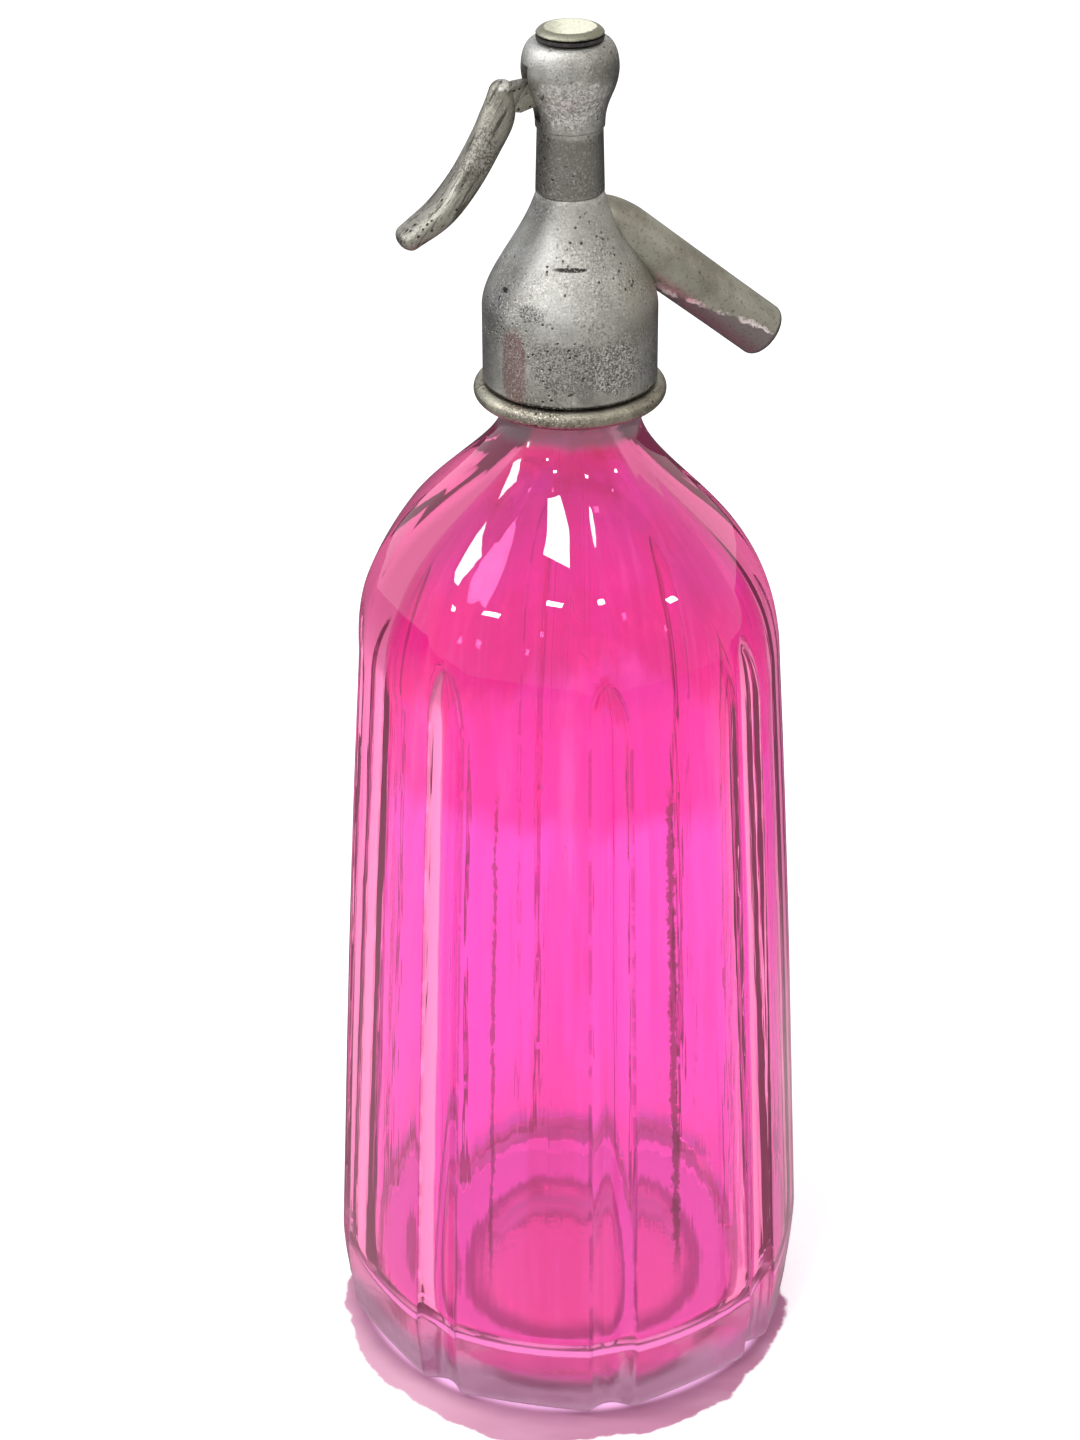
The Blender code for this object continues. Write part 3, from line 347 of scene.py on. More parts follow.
@dataclass(frozen=True)
class ShellGlass:
    """The outside of the bottle: a pink cast on the body, a frosted grey in the thick base, painted shade
    along the flutes' edges and under the collar, a painted glow, and painted light and shade on the
    underside.
    """

    body: Colour = (0.860, 0.220, 0.440)
    crown: Colour = (0.660, 0.110, 0.270)
    # painted shade: the glass neck is dark where it runs under the collar
    neck: Colour = (0.070, 0.040, 0.046)
    # painted shade along the flutes' edges and round their arches
    painted_crease_shade: Colour = (0.330, 0.060, 0.160)
    base: Colour = (0.430, 0.250, 0.380)
    # painted light and shade on the underside: a pale ring inside the foot, a dark ring, then a bright disc
    foot: Colour = (0.940, 0.840, 0.990)
    painted_dark_ring: Colour = (0.200, 0.070, 0.150)
    disc: Colour = (0.960, 0.740, 0.620)
    # painted glow: the outside gives off a faint pink light, greyer at the neck under the collar
    painted_glow: Colour = (0.034, 0.010, 0.018)
    neck_painted_glow: Colour = (0.092, 0.068, 0.076)
    base_z: float = 0.014
    crown_z: Span = (0.168, 0.200)
    neck_z: Span = (0.2310, 0.2335)
    drawn_z: Span = (0.195, 0.165)
    underside_z: Span = (0.0052, 0.0048)
    painted_pale_foot_edge: Span = (0.0505, 0.0495)
    painted_dark_ring_edge: Span = (0.0350, 0.0320)
    painted_bright_disc_edge: Span = (0.0305, 0.0235)
    flute_foot_z: Span = (0.014, 0.020)
    # width of the painted shade along the flutes' edges
    crease_shade_width: Span = (0.0130, 0.0050)
    wave: float = 0.0003

    def mix(self) -> bpy.types.Material:
        """Mix the finish."""
        paint = Paint("bottle_shell", self.body)
        across, along, height = paint.axes()
        low = height.step(self.base_z + 0.003, self.base_z - 0.004)
        ragged = paint.noise(90.0, 3.0, 0.6) - 0.5
        tone = paint.mixed(low, self.body, self.base)
        tone = paint.mixed((height + ragged * 0.010).step(*self.crown_z), tone, self.crown)
        # Painted shade where the glass neck runs under the collar
        at_neck = (height + ragged * 0.003).step(*self.neck_z)
        tone = paint.mixed(at_neck, tone, self.neck)
        # Painted shade along the flutes' edges, broken into patches by this noise
        worn = paint.noise(140.0, 3.0, 0.6).step(0.36, 0.52)
        crease_shaded = self.flute_edges(paint, across, along, height) * worn
        tone = paint.mixed(crease_shaded * 0.85, tone, self.painted_crease_shade)
        spread = from_axis(across, along) + ragged * 0.003
        under = height.step(*self.underside_z)
        # Painted light and shade on the underside, ring by ring
        rings = ((self.painted_pale_foot_edge, self.foot), (self.painted_dark_ring_edge, self.painted_dark_ring), (self.painted_bright_disc_edge, self.disc))
        for edge, colour in rings:
            tone = paint.mixed(under * spread.step(*edge), tone, colour)
        drawn = paint.noise(1.0, 3.0, 0.55, paint.mapped((170.0, 170.0, 7.0)))
        wave = paint.bump(paint.noise(30.0, 2.0, 0.5), self.wave)
        wave = paint.bump(drawn * height.step(*self.drawn_z), 0.00022, 1.0, wave)
        # Painted glow, greyer where the neck runs under the collar
        painted_glow = paint.mixed(at_neck, self.painted_glow, self.neck_painted_glow)
        return paint.finish(
            Base_Color=tone,
            Roughness=low * 0.20 + at_neck * 0.15,
            Transmission_Weight=1.0,
            IOR=1.5,
            Normal=wave,
            Emission_Color=painted_glow,
            Emission_Strength=1.0,
        )

    def flute_edges(self, paint: Recipe, across: Wire, along: Wire, height: Wire) -> Wire:
        """Where painted shade lies along the flutes' edges and round their arches.

        Args:
            paint: The material being mixed.
            across: The point's x.
            along: The point's y.
            height: The point's z.

        Returns:
            1 on the edges and 0 away from them.
        """
        shape = Bottle()
        pitch = math.tau / shape.panels
        turn = paint.maths("ARCTAN2", along, across) - shape.groove_azimuth
        aside = abs(paint.maths("WRAP", turn, pitch / 2, -pitch / 2))
        climb = ((height - shape.arch_z) / shape.arch_height).held()
        arch = (1.0 - climb * climb) ** 0.5
        bent = (paint.noise(60.0, 2.0, 0.5) - 0.5) * 0.012
        off = abs(aside - arch * shape.groove_half + bent)
        below = height.step(shape.arch_z + shape.arch_height, shape.arch_z + shape.arch_height - 0.0004)
        return off.step(*self.crease_shade_width) * below * height.step(*self.flute_foot_z)


@dataclass(frozen=True)
class FlintGlass:
    """Clear pressed glass, a little grey and wavy."""

    name: str = "flint_glass"
    tone: Colour = (0.93, 0.91, 0.94)
    wave: float = 0.0004
    index: float = 1.5

    def mix(self) -> bpy.types.Material:
        """Mix the finish."""
        paint = Paint(self.name, self.tone)
        made = paint.finish(Base_Color=self.tone, Roughness=0.0, Transmission_Weight=1.0, IOR=self.index)
        if self.wave:
            paint.finish(Normal=paint.bump(paint.noise(22.0, 2.0, 0.5), self.wave))
        return made


@dataclass(frozen=True)
class Patch:
    """A place where worn metal looks different: rubbed bright, stained, pitted or scarred, or darkened by
    painted shade.
    """

    middle: Place
    reach: Place
    tone: Colour
    share: float = 0.8
    ragged: float = 0.6
    grain: float = 0.0
    soft: float = 0.35

    def mask(self, paint: Recipe) -> Wire:
        """How strongly the patch shows at each point, from 0 to 1."""
        away: Wire | float = 0.0
        for wire, middle, reach in zip(paint.axes(), self.middle, self.reach):
            away = away + abs((wire - middle) / reach) ** 3.0
        edge = (paint.noise(420.0, 4.0, 0.65) - 0.5) * self.ragged
        shown = (away ** (1 / 3) + edge).step(1.0, 1.0 - self.soft) * self.share
        if self.grain:
            shown = shown * paint.noise(self.grain, 3.0, 0.7).step(0.44, 0.56)
        return shown


# Worn places and painted shade, as middle, reach, tone, share, raggedness, grain and softness

HEAD_WEAR_AND_SHADE = (
    # Painted shade on the dark neck between ball and bell, and on the shaded side of the crown
    Patch((0.0, 0.0, 0.2915), (0.0100, 0.0100, 0.0078), (0.24, 0.23, 0.21), 0.85, 0.1, 0.0, 0.1),
    Patch((0.0075, -0.0060, 0.3135), (0.0055, 0.0070, 0.0060), (0.28, 0.27, 0.25), 0.7, 0.6, 0.0, 0.9),
    # The pitted front of the ball, bright grains and dark ones over the bare metal
    Patch((0.0012, -0.0085, 0.3055), (0.0090, 0.0060, 0.0058), (0.72, 0.70, 0.68), 0.85, 1.3),
    Patch((0.0012, -0.0085, 0.3055), (0.0095, 0.0060, 0.0060), (1.00, 1.00, 0.98), 0.90, 1.3, 1300.0),
    Patch((0.0012, -0.0085, 0.3050), (0.0090, 0.0060, 0.0058), (0.20, 0.19, 0.18), 0.60, 1.3, 1500.0),
    # The shadow line round the skirt's edge
    Patch((0.0, 0.0, 0.2430), (0.0300, 0.0300, 0.0010), (0.03, 0.028, 0.026), 0.95, 0.1),
    # Dull places on the bell
    # Darker places on the bell: the olive right side, partly olive tint and partly painted shade, and a grey
    # patch at the left
    Patch((0.0160, -0.0080, 0.2650), (0.0110, 0.0120, 0.0120), (0.38, 0.35, 0.29), 0.6, 0.6, 0.0, 0.8),
    Patch((-0.0170, -0.0070, 0.2620), (0.0050, 0.0080, 0.0060), (0.26, 0.25, 0.25), 0.6, 0.6, 0.0, 0.8),
    # A rusty run on the skirt, and its dark, pitted front
    Patch((-0.0119, -0.0142, 0.2510), (0.0031, 0.0040, 0.0098), (0.31, 0.20, 0.19), 0.85, 0.3, 0.0, 0.3),
    Patch((-0.0012, -0.0188, 0.2520), (0.0095, 0.0040, 0.0068), (0.12, 0.10, 0.095), 0.80, 0.7, 2500.0),
    # The skirt's bright grains at the right, with dark ones over them
    Patch((0.0093, -0.0164, 0.2515), (0.0060, 0.0060, 0.0066), (0.95, 0.94, 0.90), 0.85, 0.7, 1900.0),
    Patch((0.0093, -0.0164, 0.2515), (0.0066, 0.0060, 0.0070), (0.08, 0.07, 0.07), 0.75, 0.7, 2200.0),
    # A filled dent, and a scratch and pits on the bell
    Patch((0.0029, -0.0186, 0.2470), (0.0024, 0.0030, 0.0032), (0.30, 0.29, 0.28), 0.90, 0.3),
    Patch((0.0001, -0.0134, 0.2722), (0.0042, 0.0040, 0.0005), (0.02, 0.018, 0.016), 0.95, 0.5),
    Patch((-0.0081, -0.0161, 0.2635), (0.0034, 0.0040, 0.0020), (0.05, 0.046, 0.042), 0.80, 1.0, 2600.0),
    Patch((-0.0137, -0.0096, 0.2665), (0.0011, 0.0011, 0.0006), (0.02, 0.018, 0.016), 0.95, 0.4),
)
LEVER_WEAR = (
    Patch((-0.0265, -0.0140, 0.2860), (0.0085, 0.0050, 0.0085), (0.40, 0.39, 0.34), 0.8, 0.5),
    Patch((-0.0133, -0.0066, 0.3097), (0.0020, 0.0030, 0.0013), (0.74, 0.73, 0.68), 0.9, 0.4),
    Patch((-0.0185, -0.0104, 0.2975), (0.0045, 0.0030, 0.0075), (0.10, 0.09, 0.08), 0.8, 0.8, 1700.0),
)


@dataclass(frozen=True)
class CastMetal:
    """Worn cast metal: cloudy patina, bright rubbed places, speckle, fine pits and scratches, and the patches
    it is given, those of the head with painted shade among them.
    """

    name: str
    bright: Colour
    dull: Colour
    dark: Colour
    rough: float = 0.36
    pit_scale: float = 620.0
    pit_share: float = 0.24
    speckle: float = 0.75
    glint: Colour = (0.86, 0.85, 0.82)
    course: Place | None = None
    patches: tuple[Patch, ...] = ()

    def streaks(self, paint: Recipe) -> Wire:
        """Noise drawn out along the piece's course."""
        course = Vector(self.course).normalized()
        aside = course.cross(Vector((0.0, 0.0, 1.0))).normalized()
        ways = ((aside, 900.0), (course.cross(aside), 900.0), (course, 70.0))
        parts = {}
        for index, (way, scale) in enumerate(ways):
            parts[index] = sum((wire * (part * scale) for wire, part in zip(paint.axes(), way)), 0.0)
        place = Wire(paint, paint.node("ShaderNodeCombineXYZ", {}, parts).outputs["Vector"])
        return paint.noise(1.0, 4.0, 0.65, place)

    def mix(self) -> bpy.types.Material:
        """Mix the finish."""
        paint = Paint(self.name, self.dull)
        cloud = paint.noise(70.0, 6.0, 0.66)
        tone = paint.mixed(cloud.step(0.38, 0.64), self.dull, self.bright)
        # Patches of wear, and on the head painted shade as well
        for patch in self.patches:
            tone = paint.mixed(patch.mask(paint), tone, patch.tone)
        grain = paint.noise(2100.0, 4.0, 0.75)
        worn = paint.noise(95.0, 3.0, 0.6).step(0.38, 0.60) * 0.6 + 0.4
        tone = paint.mixed(grain.step(0.48, 0.34) * worn * self.speckle, tone, self.dark)
        tone = paint.mixed(grain.step(0.54, 0.64) * worn * self.speckle, tone, self.glint)
        if self.course:
            tone = paint.mixed(self.streaks(paint).step(0.50, 0.36) * 0.8, tone, self.dark)
        pits = paint.cells(self.pit_scale).step(self.pit_share, self.pit_share * 0.5)
        pits = pits * paint.noise(75.0, 2.0, 0.5).step(0.50, 0.60)
        tone = paint.mixed(pits * 0.9, tone, self.dark)
        scratches = paint.noise(1.0, 2.0, 0.5, paint.mapped((2600.0, 2600.0, 120.0), (0.3, 0.9, 0.2)))
        rough = cloud * 0.24 + (self.rough - 0.12) + pits * 0.25
        height = grain * 0.8 - pits * 1.2 + scratches * 0.25 + cloud * 0.8
        normal = paint.bump(height, 0.00022, 0.8)
        return paint.finish(Base_Color=tone, Roughness=rough, Metallic=1.0, Normal=normal)


@dataclass(frozen=True)
class SpoutMetal:
    """The spout's metal: olive above, purple-brown below, and a ragged bare line between them."""

    above: Colour = (0.46, 0.445, 0.38)
    cloud: Colour = (0.32, 0.30, 0.25)
    below: Colour = (0.20, 0.165, 0.155)
    bare: Colour = (0.92, 0.80, 0.78)
    dark: Colour = (0.05, 0.042, 0.036)

    def mix(self) -> bpy.types.Material:
        """Mix the finish."""
        paint = Paint("spout_metal", self.above)
        spout = Spout()
        across, along, height = paint.axes()
        out = across * math.cos(spout.azimuth) + along * math.sin(spout.azimuth)
        rise = height - spout.crossing_z
        down = out * -math.sin(spout.drop) - rise * math.cos(spout.drop)
        far = out * math.cos(spout.drop) - rise * math.sin(spout.drop)
        front = (across * math.sin(spout.azimuth) - along * math.cos(spout.azimuth)).step(-0.001, 0.001)
        ragged = (paint.noise(330.0, 4.0, 0.7) - 0.5) * 0.0034
        off = down - 0.0047 + (far - 0.0296) * 0.225 + ragged
        grain = paint.noise(1500.0, 3.0, 0.7)
        tone = paint.mixed(paint.noise(80.0, 4.0, 0.6).step(0.42, 0.62), self.above, self.cloud)
        tone = paint.mixed(off.step(-0.0002, 0.0003), tone, self.below)
        width = far.step(0.040, 0.026) * 0.0010 + 0.0006
        line = abs(off / width).step(1.0, 0.5) * front * far.step(0.020, 0.024) * far.step(0.0585, 0.0560)
        tone = paint.mixed(line * paint.noise(260.0, 2.0, 0.6).step(0.42, 0.52), tone, self.bare)
        tone = paint.mixed(grain.step(0.45, 0.32) * 0.6, tone, self.dark)
        tone = paint.mixed(far.step(0.0572, 0.0580) * 0.8, tone, self.dark)
        normal = paint.bump(grain * 0.5 + paint.noise(200.0, 3.0, 0.6) * 1.2, 0.00020, 0.7)
        plain = 1.0 - off.step(-0.0002, 0.0003) * 0.7
        return paint.finish(Base_Color=tone, Roughness=grain * 0.2 + 0.34, Metallic=plain, Normal=normal)


@dataclass(frozen=True)
class CapMetal:
    """The cap: chalky cream on its flat top, dull olive metal on the bevel, dark pits at the rim."""

    cream: Colour = (0.97, 0.96, 0.76)
    shade: Colour = (0.60, 0.58, 0.44)
    olive: Colour = (0.34, 0.33, 0.26)
    dark: Colour = (0.03, 0.028, 0.024)

    def mix(self) -> bpy.types.Material:
        """Mix the finish."""
        paint = Paint("cap_metal", self.olive)
        across, along, height = paint.axes()
        ragged = paint.noise(700.0, 4.0, 0.7) - 0.5
        spread = from_axis(across, along)
        flat = (spread + ragged * 0.0012).step(0.0056, 0.0052)
        cream = paint.mixed((across * -1.0 + ragged * 0.006).step(0.0005, 0.0045), self.cream, self.shade)
        tone = paint.mixed(flat, self.olive, cream)
        tone = paint.mixed((height + ragged * 0.0008).step(0.3191, 0.3187), tone, self.dark)
        tone = paint.mixed(paint.noise(1900.0, 3.0, 0.7).step(0.42, 0.32) * 0.7, tone, self.dark)
        normal = paint.bump(ragged, 0.00025, 0.8)
        return paint.finish(Base_Color=tone, Roughness=0.5, Metallic=1.0 - flat * 0.85, Normal=normal)


@dataclass(frozen=True)
class PlainMetal:
    """Turned brass or drawn steel inside the head."""

    name: str
    tone: Colour
    tarnish: Colour
    rough: float = 0.30

    def mix(self) -> bpy.types.Material:
        """Mix the finish."""
        paint = Paint(self.name, self.tone)
        cloud = paint.noise(160.0, 4.0, 0.6)
        tone = paint.mixed(cloud.step(0.40, 0.70), self.tone, self.tarnish)
        lines = paint.noise(1.0, 2.0, 0.5, paint.mapped((60.0, 60.0, 4200.0)))
        return paint.finish(
            Base_Color=tone,
            Roughness=cloud * 0.2 + (self.rough - 0.1),
            Metallic=1.0,
            Normal=paint.bump(lines, 0.00004, 0.5),
        )


@dataclass(frozen=True)
class SoftSeal:
    """Rubber or cork, matt and grainy."""

    name: str
    tone: Colour
    fleck: Colour
    grain: float = 900.0

    def mix(self) -> bpy.types.Material:
        """Mix the finish."""
        paint = Paint(self.name, self.tone)
        specks = paint.noise(self.grain, 4.0, 0.6)
        tone = paint.mixed(specks.step(0.50, 0.62), self.tone, self.fleck)
        return paint.finish(
            Base_Color=tone, Roughness=specks * 0.2 + 0.7, Normal=paint.bump(specks, 0.00010, 0.6)
        )


@dataclass
class Finishes:
    """Every finish of the siphon, mixed once."""

    made: dict[Slot, bpy.types.Material] = field(default_factory=dict)
    tube: bpy.types.Material | None = None
    spout: bpy.types.Material | None = None
    shell: bpy.types.Material | None = None

    def mix_all(self) -> None:
        """Mix a material for each slot of the record."""
        pewter = CastMetal(
            "worn_pewter",
            bright=(0.58, 0.575, 0.545),
            dull=(0.37, 0.36, 0.33),
            dark=(0.06, 0.055, 0.05),
            patches=HEAD_WEAR_AND_SHADE,
        )
        collar = CastMetal(
            "collar_metal",
            bright=(0.50, 0.47, 0.38),
            dull=(0.27, 0.25, 0.20),
            dark=(0.04, 0.035, 0.03),
            glint=(0.95, 0.93, 0.80),
            speckle=0.95,
        )
        lever = CastMetal(
            "lever_metal",
            bright=(0.42, 0.40, 0.35),
            dull=(0.24, 0.225, 0.19),
            dark=(0.05, 0.042, 0.035),
            glint=(0.60, 0.58, 0.52),
            rough=0.44,
            course=(-0.53, -0.19, -0.82),
            patches=LEVER_WEAR,
        )
        self.made = {
            Slot.TINTED_GLASS: StainedGlass().mix(),
            Slot.CLEAR_GLASS: FlintGlass().mix(),
            Slot.PEWTER: pewter.mix(),
            Slot.COLLAR: collar.mix(),
            Slot.LEVER: lever.mix(),
            Slot.CAP: CapMetal().mix(),
            Slot.BRASS: PlainMetal("valve_brass", (0.66, 0.50, 0.24), (0.34, 0.24, 0.11)).mix(),
            Slot.STEEL: PlainMetal("spring_steel", (0.52, 0.52, 0.52), (0.30, 0.28, 0.26)).mix(),
            Slot.RUBBER: SoftSeal("seal_rubber", (0.030, 0.028, 0.026), (0.07, 0.065, 0.06)).mix(),
            Slot.CORK: SoftSeal("cork_packing", (0.36, 0.23, 0.12), (0.16, 0.09, 0.05), 1400.0).mix(),
        }
        self.shell = ShellGlass().mix()
        self.tube = FlintGlass("tube_glass", (0.99, 0.98, 0.99), 0.0, 1.02).mix()
        self.spout = SpoutMetal().mix()


# The bench


class Bench:
    """Blender's own modelling tools, one piece at a time."""

    @staticmethod
    def select(*pieces: bpy.types.Object) -> None:
        """Select these pieces and nothing else; the first is the active one."""
        bpy.ops.object.select_all(action="DESELECT")
        for piece in pieces:
            piece.select_set(True)
        if pieces:
            bpy.context.view_layer.objects.active = pieces[0]

    @staticmethod
    def named(name: str) -> bpy.types.Object:
        """Name the piece that was just added."""
        piece = bpy.context.object
        piece.name = piece.data.name = name
        return piece

    @staticmethod
    def edit(action: str) -> None:
        """Enter edit mode, and select everything or nothing."""
        bpy.ops.object.mode_set(mode="EDIT")
        bpy.ops.mesh.select_all(action=action)

    @staticmethod
    def tidy(angle: float = 35.0) -> None:
        """Merge doubles, turn faces outwards and shade smooth; starts in edit mode."""
        bpy.ops.mesh.select_all(action="SELECT")
        bpy.ops.mesh.remove_doubles(threshold=SMALLEST)
        bpy.ops.mesh.normals_make_consistent(inside=False)
        bpy.ops.object.mode_set(mode="OBJECT")
        bpy.ops.object.shade_smooth_by_angle(angle=math.radians(angle))

    @classmethod
    def turned(
        cls, name: str, outline: Sequence[Point], steps: int, closed: bool = False
    ) -> bpy.types.Object:
        """Turn an outline about the Z axis.

        Args:
            name: The piece's name.
            outline: (radius, z) points, from axis to axis unless closed.
            steps: Facets around.
            closed: Whether the last point joins the first.

        Returns:
            The piece.
        """
        cls.select()
        bpy.ops.mesh.primitive_plane_add(size=0.001, location=(0.0, 0.0, 0.0))
        piece = cls.named(name)
        cls.edit("SELECT")
        bpy.ops.mesh.merge(type="CENTER")
        bpy.ops.transform.translate(value=(outline[0][0], 0.0, outline[0][1]))
        for (radius, height), (wide, high) in zip(outline, outline[1:]):
            move = {"value": (wide - radius, 0.0, high - height)}
            bpy.ops.mesh.extrude_vertices_move(TRANSFORM_OT_translate=move)
        if closed:
            cls.pick(piece, lambda vert: vert.index in (0, len(outline) - 1))
            bpy.ops.mesh.edge_face_add()
        bpy.ops.mesh.select_all(action="SELECT")
        bpy.ops.mesh.spin(steps=steps, angle=math.tau, center=(0.0, 0.0, 0.0), axis=(0.0, 0.0, 1.0))
        cls.tidy()
        return piece

    @staticmethod
    def pick(piece: bpy.types.Object, wanted: Callable[[bpy.types.MeshVertex], bool]) -> None:
        """Select the wanted vertices, and leave the piece in edit mode."""
        bpy.ops.object.mode_set(mode="EDIT")
        bpy.ops.mesh.select_mode(type="VERT")
        bpy.ops.mesh.select_all(action="DESELECT")
        bpy.ops.object.mode_set(mode="OBJECT")
        for vert in piece.data.vertices:
            vert.select = wanted(vert)
        bpy.ops.object.mode_set(mode="EDIT")

    @classmethod
    def skinned(cls, name: str, sections: Sequence[Sequence[Vector]]) -> bpy.types.Object:
        """Draw a closed skin through sections of equal point counts.

        Args:
            name: The piece's name.
            sections: Rings of points, each in the same order.

        Returns:
            The piece, closed to a point at both ends.
        """
        cls.select()
        bpy.ops.mesh.primitive_circle_add(vertices=len(sections[0]), radius=1.0, fill_type="TRIFAN")
        piece = cls.named(name)
        cls.edit("DESELECT")
        bpy.ops.mesh.select_non_manifold()
        for index, section in enumerate(sections):
            if index:
                bpy.ops.mesh.extrude_region_move()
            mesh = bmesh.from_edit_mesh(piece.data)
            ring = [vert for vert in mesh.verts if vert.select]
            for vert, point in zip(ring, section):
                vert.co = point
            if not index:
                middle = next(vert for vert in mesh.verts if not vert.select)
                middle.co = sum(section, Vector()) / len(section)
            bmesh.update_edit_mesh(piece.data)
        bpy.ops.mesh.extrude_region_move()
        bpy.ops.mesh.merge(type="CENTER")
        cls.tidy(50.0)
        return piece

    @classmethod
    def block(cls, name: str, low: Place, high: Place, azimuth: float) -> bpy.types.Object:
        """A box between two corners, turned to an azimuth about Z; used to cut with."""
        cls.select()
        middle = [(a + b) / 2 for a, b in zip(low, high)]
        size = [b - a for a, b in zip(low, high)]
        bpy.ops.mesh.primitive_cube_add(size=1.0, location=middle, scale=size)
        piece = cls.named(name)
        cls.settle(piece)
        cls.settle(piece, Matrix.Rotation(azimuth, 4, "Z"))
        return piece

    @classmethod
    def apply(cls, piece: bpy.types.Object, kind: str, **settings: Any) -> None:
        """Add a modifier with its settings and apply it."""
        cls.select(piece)
        modifier = piece.modifiers.new(kind.lower(), kind)
        for name, value in settings.items():
            setattr(modifier, name, value)
        bpy.ops.object.modifier_apply(modifier=modifier.name)

    @classmethod
    def cut(cls, piece: bpy.types.Object, cutter: bpy.types.Object, operation: str = "DIFFERENCE") -> None:
        """Cut a piece with another, or join them, and clear the other away."""
        cls.apply(piece, "BOOLEAN", object=cutter, operation=operation, solver="EXACT")
        bpy.data.objects.remove(cutter)

    @classmethod
    def settle(cls, piece: bpy.types.Object, turn: Matrix | None = None) -> None:
        """Bake a piece's place, after a turn or move if one is given, into its mesh."""
        cls.select(piece)
        if turn is not None:
            piece.matrix_world = turn @ piece.matrix_world
        bpy.ops.object.transform_apply(location=True, rotation=True, scale=True)

    @classmethod
    def smooth(cls, piece: bpy.types.Object, angle: float = 35.0) -> None:
        """Shade a piece smooth except at its sharp edges."""
        cls.select(piece)
        bpy.ops.object.shade_smooth_by_angle(angle=math.radians(angle))

    @staticmethod
    def dress(
        piece: bpy.types.Object, materials: Sequence[bpy.types.Material], slot: Slot, body: Body, *nodes: str
    ) -> None:
        """Give a piece its finish, its body and the CAD nodes that it stands for."""
        piece.data.materials.clear()
        for material in materials:
            piece.data.materials.append(material)
        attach(piece, body.value)
        if nodes:
            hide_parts(*nodes)
        log.info("%s: %d faces, rides on %s", piece.name, len(piece.data.polygons), body.value)


class Part:
    """A piece of one finish, its slot's own unless the piece says otherwise."""

    slot = Slot.PEWTER
    body = Body.SIPHON
    node = ""

    def finish(self, finishes: Finishes) -> bpy.types.Material:
        """The finish of the piece's slot."""
        return finishes.made[self.slot]

    def dress(self, piece: bpy.types.Object, finishes: Finishes) -> None:
        """Give the piece its finish, its body and the CAD node that it stands for."""
        Bench.dress(piece, (self.finish(finishes),), self.slot, self.body, self.node)


def curve(start: Point, end: Point, shares: Sequence[Point], steps: int) -> list[Point]:
    """Points of a curve between two (radius, z) points, leaving out the start.

    Args:
        start: First point.
        end: Last point.
        shares: Two handles, as shares of the change of radius and of the rise.
        steps: Number of points.

    Returns:
        The points.
    """
    change, rise = end[0] - start[0], end[1] - start[1]
    corners = [start, *((start[0] + change * a, start[1] + rise * b) for a, b in shares), end]
    points = []
    for step in range(1, steps + 1):
        t = step / steps
        weights = ((1 - t) ** 3, 3 * t * (1 - t) ** 2, 3 * t * t * (1 - t), t**3)
        points.append(tuple(sum(w * p[axis] for w, p in zip(weights, corners)) for axis in (0, 1)))
    return points


def arc(middle: Point, radius: float, start: float, end: float, steps: int) -> list[Point]:
    """Points of an arc, both ends included; the angles are in degrees."""
    angles = (math.radians(start + (end - start) * step / steps) for step in range(steps + 1))
    return [(middle[0] + radius * math.cos(a), middle[1] + radius * math.sin(a)) for a in angles]


# The bottle


